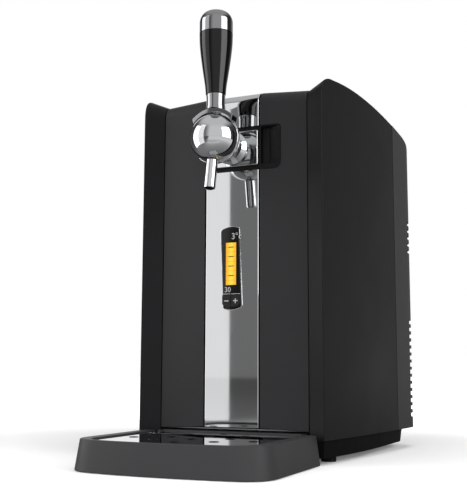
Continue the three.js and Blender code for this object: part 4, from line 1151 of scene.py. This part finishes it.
def tray_plan(plan, rear, height):
    """Plan with a bowed front and rounded front corners."""
    half, reach, corner = plan
    start = half - corner
    bowed = -reach + TRAY_BOW * (start / half) ** 2
    tip = bowed + 2 * TRAY_BOW * start / half ** 2 * corner
    right = bend(((0, -reach), (start / 2, -reach), (start, bowed)), 10)
    right += bend(((start, bowed), (half, tip), (half, tip + corner)), 12)[1:]
    right += [(half, rear)]
    left = [(-x, y) for x, y in reversed(right)][:-1]
    return [at(x, y, height) for x, y in right + left]


tray = draw_block("tray", tray_plan(FOOT_PLAN, TRAY_REAR, TRAY_LIFT), up_by(TRAY_TOP - TRAY_LIFT),
                  tray_plan(smaller(FOOT_PLAN, 4.2), TRAY_REAR, TRAY_TOP))
cut(tray, box("tongue", -TONGUE_HALF, TONGUE_HALF, TONGUE_FRONT, TONGUE_REAR, TRAY_LIFT, TRAY_TOP), "UNION")
cut(tray, draw_block("seat", tray_plan(SEAT_PLAN, TRAY_REAR, SEAT), up_by(5)))
cut(tray, box("tongue seat", -TAIL_HALF, TAIL_HALF, TONGUE_FRONT, TAIL_REAR, SEAT, TRAY_TOP + 2))
cut(tray, draw_block("basin", tray_plan(smaller(SEAT_PLAN, 4), TRAY_REAR - 4, TRAY_LIFT + WALL), up_by(26)))
soften(tray, 0.9)
# The tray body gets a lighter copy of the dark plastic: painted light
finish(tray, "tray_body", "tray", "tray_plastic_painted_lighter", "drip_tray", slot="dark_plastic", angle=40)

# The plate lies in its seat with the usual gap all round, and a ring lines each of its holes
low, half = SEAT + SEAT_GAP, TAIL_HALF - SEAT_GAP
drip_outline = tray_plan(smaller(SEAT_PLAN, SEAT_GAP), TRAY_REAR - SEAT_GAP, low)
drip = draw_block("drip", drip_outline, up_by(DRIP_THICK))
cut(drip, box("tail", -half, half, TONGUE_FRONT, TAIL_REAR - SEAT_GAP, low, low + DRIP_THICK), "UNION")
hole = [(0, -3), (HOLE_RADIUS, -3), (HOLE_RADIUS, 3), (0, 3)]
ring = [(4.0, 27.5), (4.42, 27.5), (4.42, 28.64), (4.9, 28.64), (4.9, 28.8), (4.5, 28.95), (4.1, 28.8)]
eyelets = []
for column, count, shift in ((0, 4, 0), (1, 3, 0.5), (2, 2, 1)):
    for row in range(count):
        for side in ((1, -1) if column else (1,)):
            x = side * column * HOLE_PITCH * math.sin(math.pi / 3)
            y = -9 - (row + shift) * HOLE_PITCH
            cut(drip, turn("hole", hole, (0, 0, 1), at(x, y, 28), 32))
            eyelets.append(turn("eyelet", ring + [ring[0]], (0, 0, 1), at(x, y, 0), 32))
soften(drip, 0.2, 2)
finish(drip, "perforated_plate", "plate", "plate_steel", "drip_plate", slot="polished_steel", angle=40)
rings = merge_pieces(eyelets[0], *eyelets[1:])
finish(rings, "drain_eyelets", "plate", "black_plastic", angle=40)

# Studio
deselect()
bpy.ops.mesh.primitive_plane_add(size=16, location=(0, 0, 0))
floor = bpy.context.object
floor.name = "studio_floor"


def between(tree, share, first, second):
    """A value that goes from first to second with a share."""
    blend = add(tree, "Mix", data_type="FLOAT")
    feed(tree, blend.inputs, {0: share, 2: first, 3: second})
    return blend.outputs[0]


def ray_kinds(tree):
    """1 for rays that the eye sees by, and 1 for rays that a shiny surface sends out."""
    rays = add(tree, "LightPath")
    seen = maths(tree, "MAXIMUM", rays.outputs["Is Camera Ray"], rays.outputs["Is Transmission Ray"])
    return seen, rays.outputs["Is Glossy Ray"]


# The floor stays white to the eye away from the shadow, and pale grey in metal, with a painted pool of light
# at the right, growing further out, that only metal sees
floor_finish = bpy.data.materials.new("pale_floor")
floor_finish.use_nodes = True
tree = floor_finish.node_tree
tree.nodes.clear()
seen, shiny = ray_kinds(tree)
place, parts = directions(tree, "Object")
reach = add(tree, "VectorMath", operation="LENGTH")
feed(tree, reach.inputs, {0: place})
far_off = ease(tree, reach.outputs["Value"], 0.35, 0.9)
outer = ease(tree, reach.outputs["Value"], 0.1, 1.5)
# Painted pool of light on the floor's right, seen only in reflections
painted_pool_right = ease(tree, parts["X"], -0.35, 0.05)
painted_light_pool = maths(tree, "MULTIPLY", maths(tree, "MULTIPLY", outer, painted_pool_right), 0.6)
white = maths(tree, "MULTIPLY", seen, between(tree, far_off, 0.12, 1.0))
glossy = maths(tree, "MULTIPLY", shiny, maths(tree, "ADD", painted_light_pool, 0.06))
paint = add(tree, "BsdfDiffuse")
feed(tree, paint.inputs, {"Color": between(tree, seen, between(tree, shiny, 0.5, 0.12), 0.9)})
lift = add(tree, "Emission")
feed(tree, lift.inputs, {"Strength": maths(tree, "ADD", white, glossy)})
both = add(tree, "AddShader")
feed(tree, both.inputs, {0: paint.outputs[0], 1: lift.outputs[0]})
feed(tree, add(tree, "OutputMaterial").inputs, {"Surface": both.outputs[0]})
floor.data.materials.append(floor_finish)

# The backdrop is white to the eye; metal sees it bright in front and at the rear left
world = bpy.data.worlds.new("studio")
bpy.context.scene.world = world
world.use_nodes = True
tree = world.node_tree
tree.nodes.clear()
seen, shiny = ray_kinds(tree)
_, (sideways, rearwards, upwards) = directions(tree, "Generated")
front_side = ease(tree, rearwards, 0.25, -0.25)
rightwards = ease(tree, sideways, -0.32, 0.1)
front_light = maths(tree, "MULTIPLY", between(tree, rightwards, 0.2, 0.68), ease(tree, upwards, -0.9, 0.1))
rear_left = maths(tree, "MULTIPLY", ease(tree, rearwards, 0.45, 0.6), ease(tree, sideways, -0.1, -0.25))
rear_right = between(tree, ease(tree, rearwards, 0.7, 1.0), 0.06, 0.5)
rear_light = between(tree, rear_left, rear_right, 0.95)
around = between(tree, front_side, rear_light, front_light)
room = between(tree, ease(tree, upwards, 0.6, 0.9), around, 0.6)
glossy = maths(tree, "MULTIPLY", shiny, room)
matt = maths(tree, "MULTIPLY", maths(tree, "SUBTRACT", 1.0, shiny), 0.22)
strength = maths(tree, "MAXIMUM", seen, maths(tree, "ADD", glossy, matt))
backdrop = add(tree, "Background")
feed(tree, backdrop.inputs, {"Color": (1, 1, 1, 1), "Strength": strength})
feed(tree, add(tree, "OutputWorld").inputs, {"Surface": backdrop.outputs[0]})


def area_lamp(name, wide, high, power, place, away):
    data = bpy.data.lights.new(name, "AREA")
    data.shape = "RECTANGLE"
    data.size = wide
    data.size_y = high
    data.energy = power
    lamp = bpy.data.objects.new(name, data)
    bpy.context.collection.objects.link(lamp)
    lamp.location = place
    lamp.rotation_euler = Vector(away).to_track_quat("Z", "Y").to_euler()
    return lamp


def upright_lamp(name, turn_degrees, distance, wide, low, high, power):
    """An upright soft light round the subject: 0 is in front, positive turns to the right."""
    around = math.radians(turn_degrees)
    away = Vector((math.sin(around), -math.cos(around), 0))
    middle = away * distance + Vector((0, 0, (low + high) / 2))
    return area_lamp(name, wide, high - low, power, middle, away)


upright_lamp("left softbox", -65, 0.8, 0.42, 0.0, 1.0, 3.3)
upright_lamp("left screen", -37, 0.75, 0.392, 0.0, 1.1, 1.15)
upright_lamp("right softbox", 80, 1.5, 1.2, 0.3, 1.6, 16)
unreflected = [upright_lamp("low front light", 15, 0.7, 0.8, 0.0, 0.2, 2.8),
               area_lamp("overhead light", 1.4, 1.0, 14, (0.2, -0.2, 1.7), (0.1, -0.1, 1)),
               upright_lamp("rear fill", 150, 1.8, 1.2, 0.2, 1.4, 9)]
for lamp in unreflected:
    lamp.visible_glossy = False

# Camera, where the photograph was taken from
yaw, pitch, roll = (math.radians(angle) for angle in (23.79, 7.82, 0.23))
camera_data = bpy.data.cameras.new("camera")
camera_data.lens = 62.45
camera = bpy.data.objects.new("camera", camera_data)
bpy.context.collection.objects.link(camera)
camera.location = (0.3771, -0.9117, 0.0952)
forward = Vector((-math.sin(yaw) * math.cos(pitch), math.cos(yaw) * math.cos(pitch), math.sin(pitch)))
aim = forward.to_track_quat("-Z", "Y").to_matrix() @ Matrix.Rotation(roll, 3, "Z")
camera.rotation_euler = aim.to_euler()
camera_data.clip_start = 0.05
camera_data.clip_end = 60
bpy.context.scene.camera = camera
bpy.context.scene.view_settings.view_transform = "Standard"
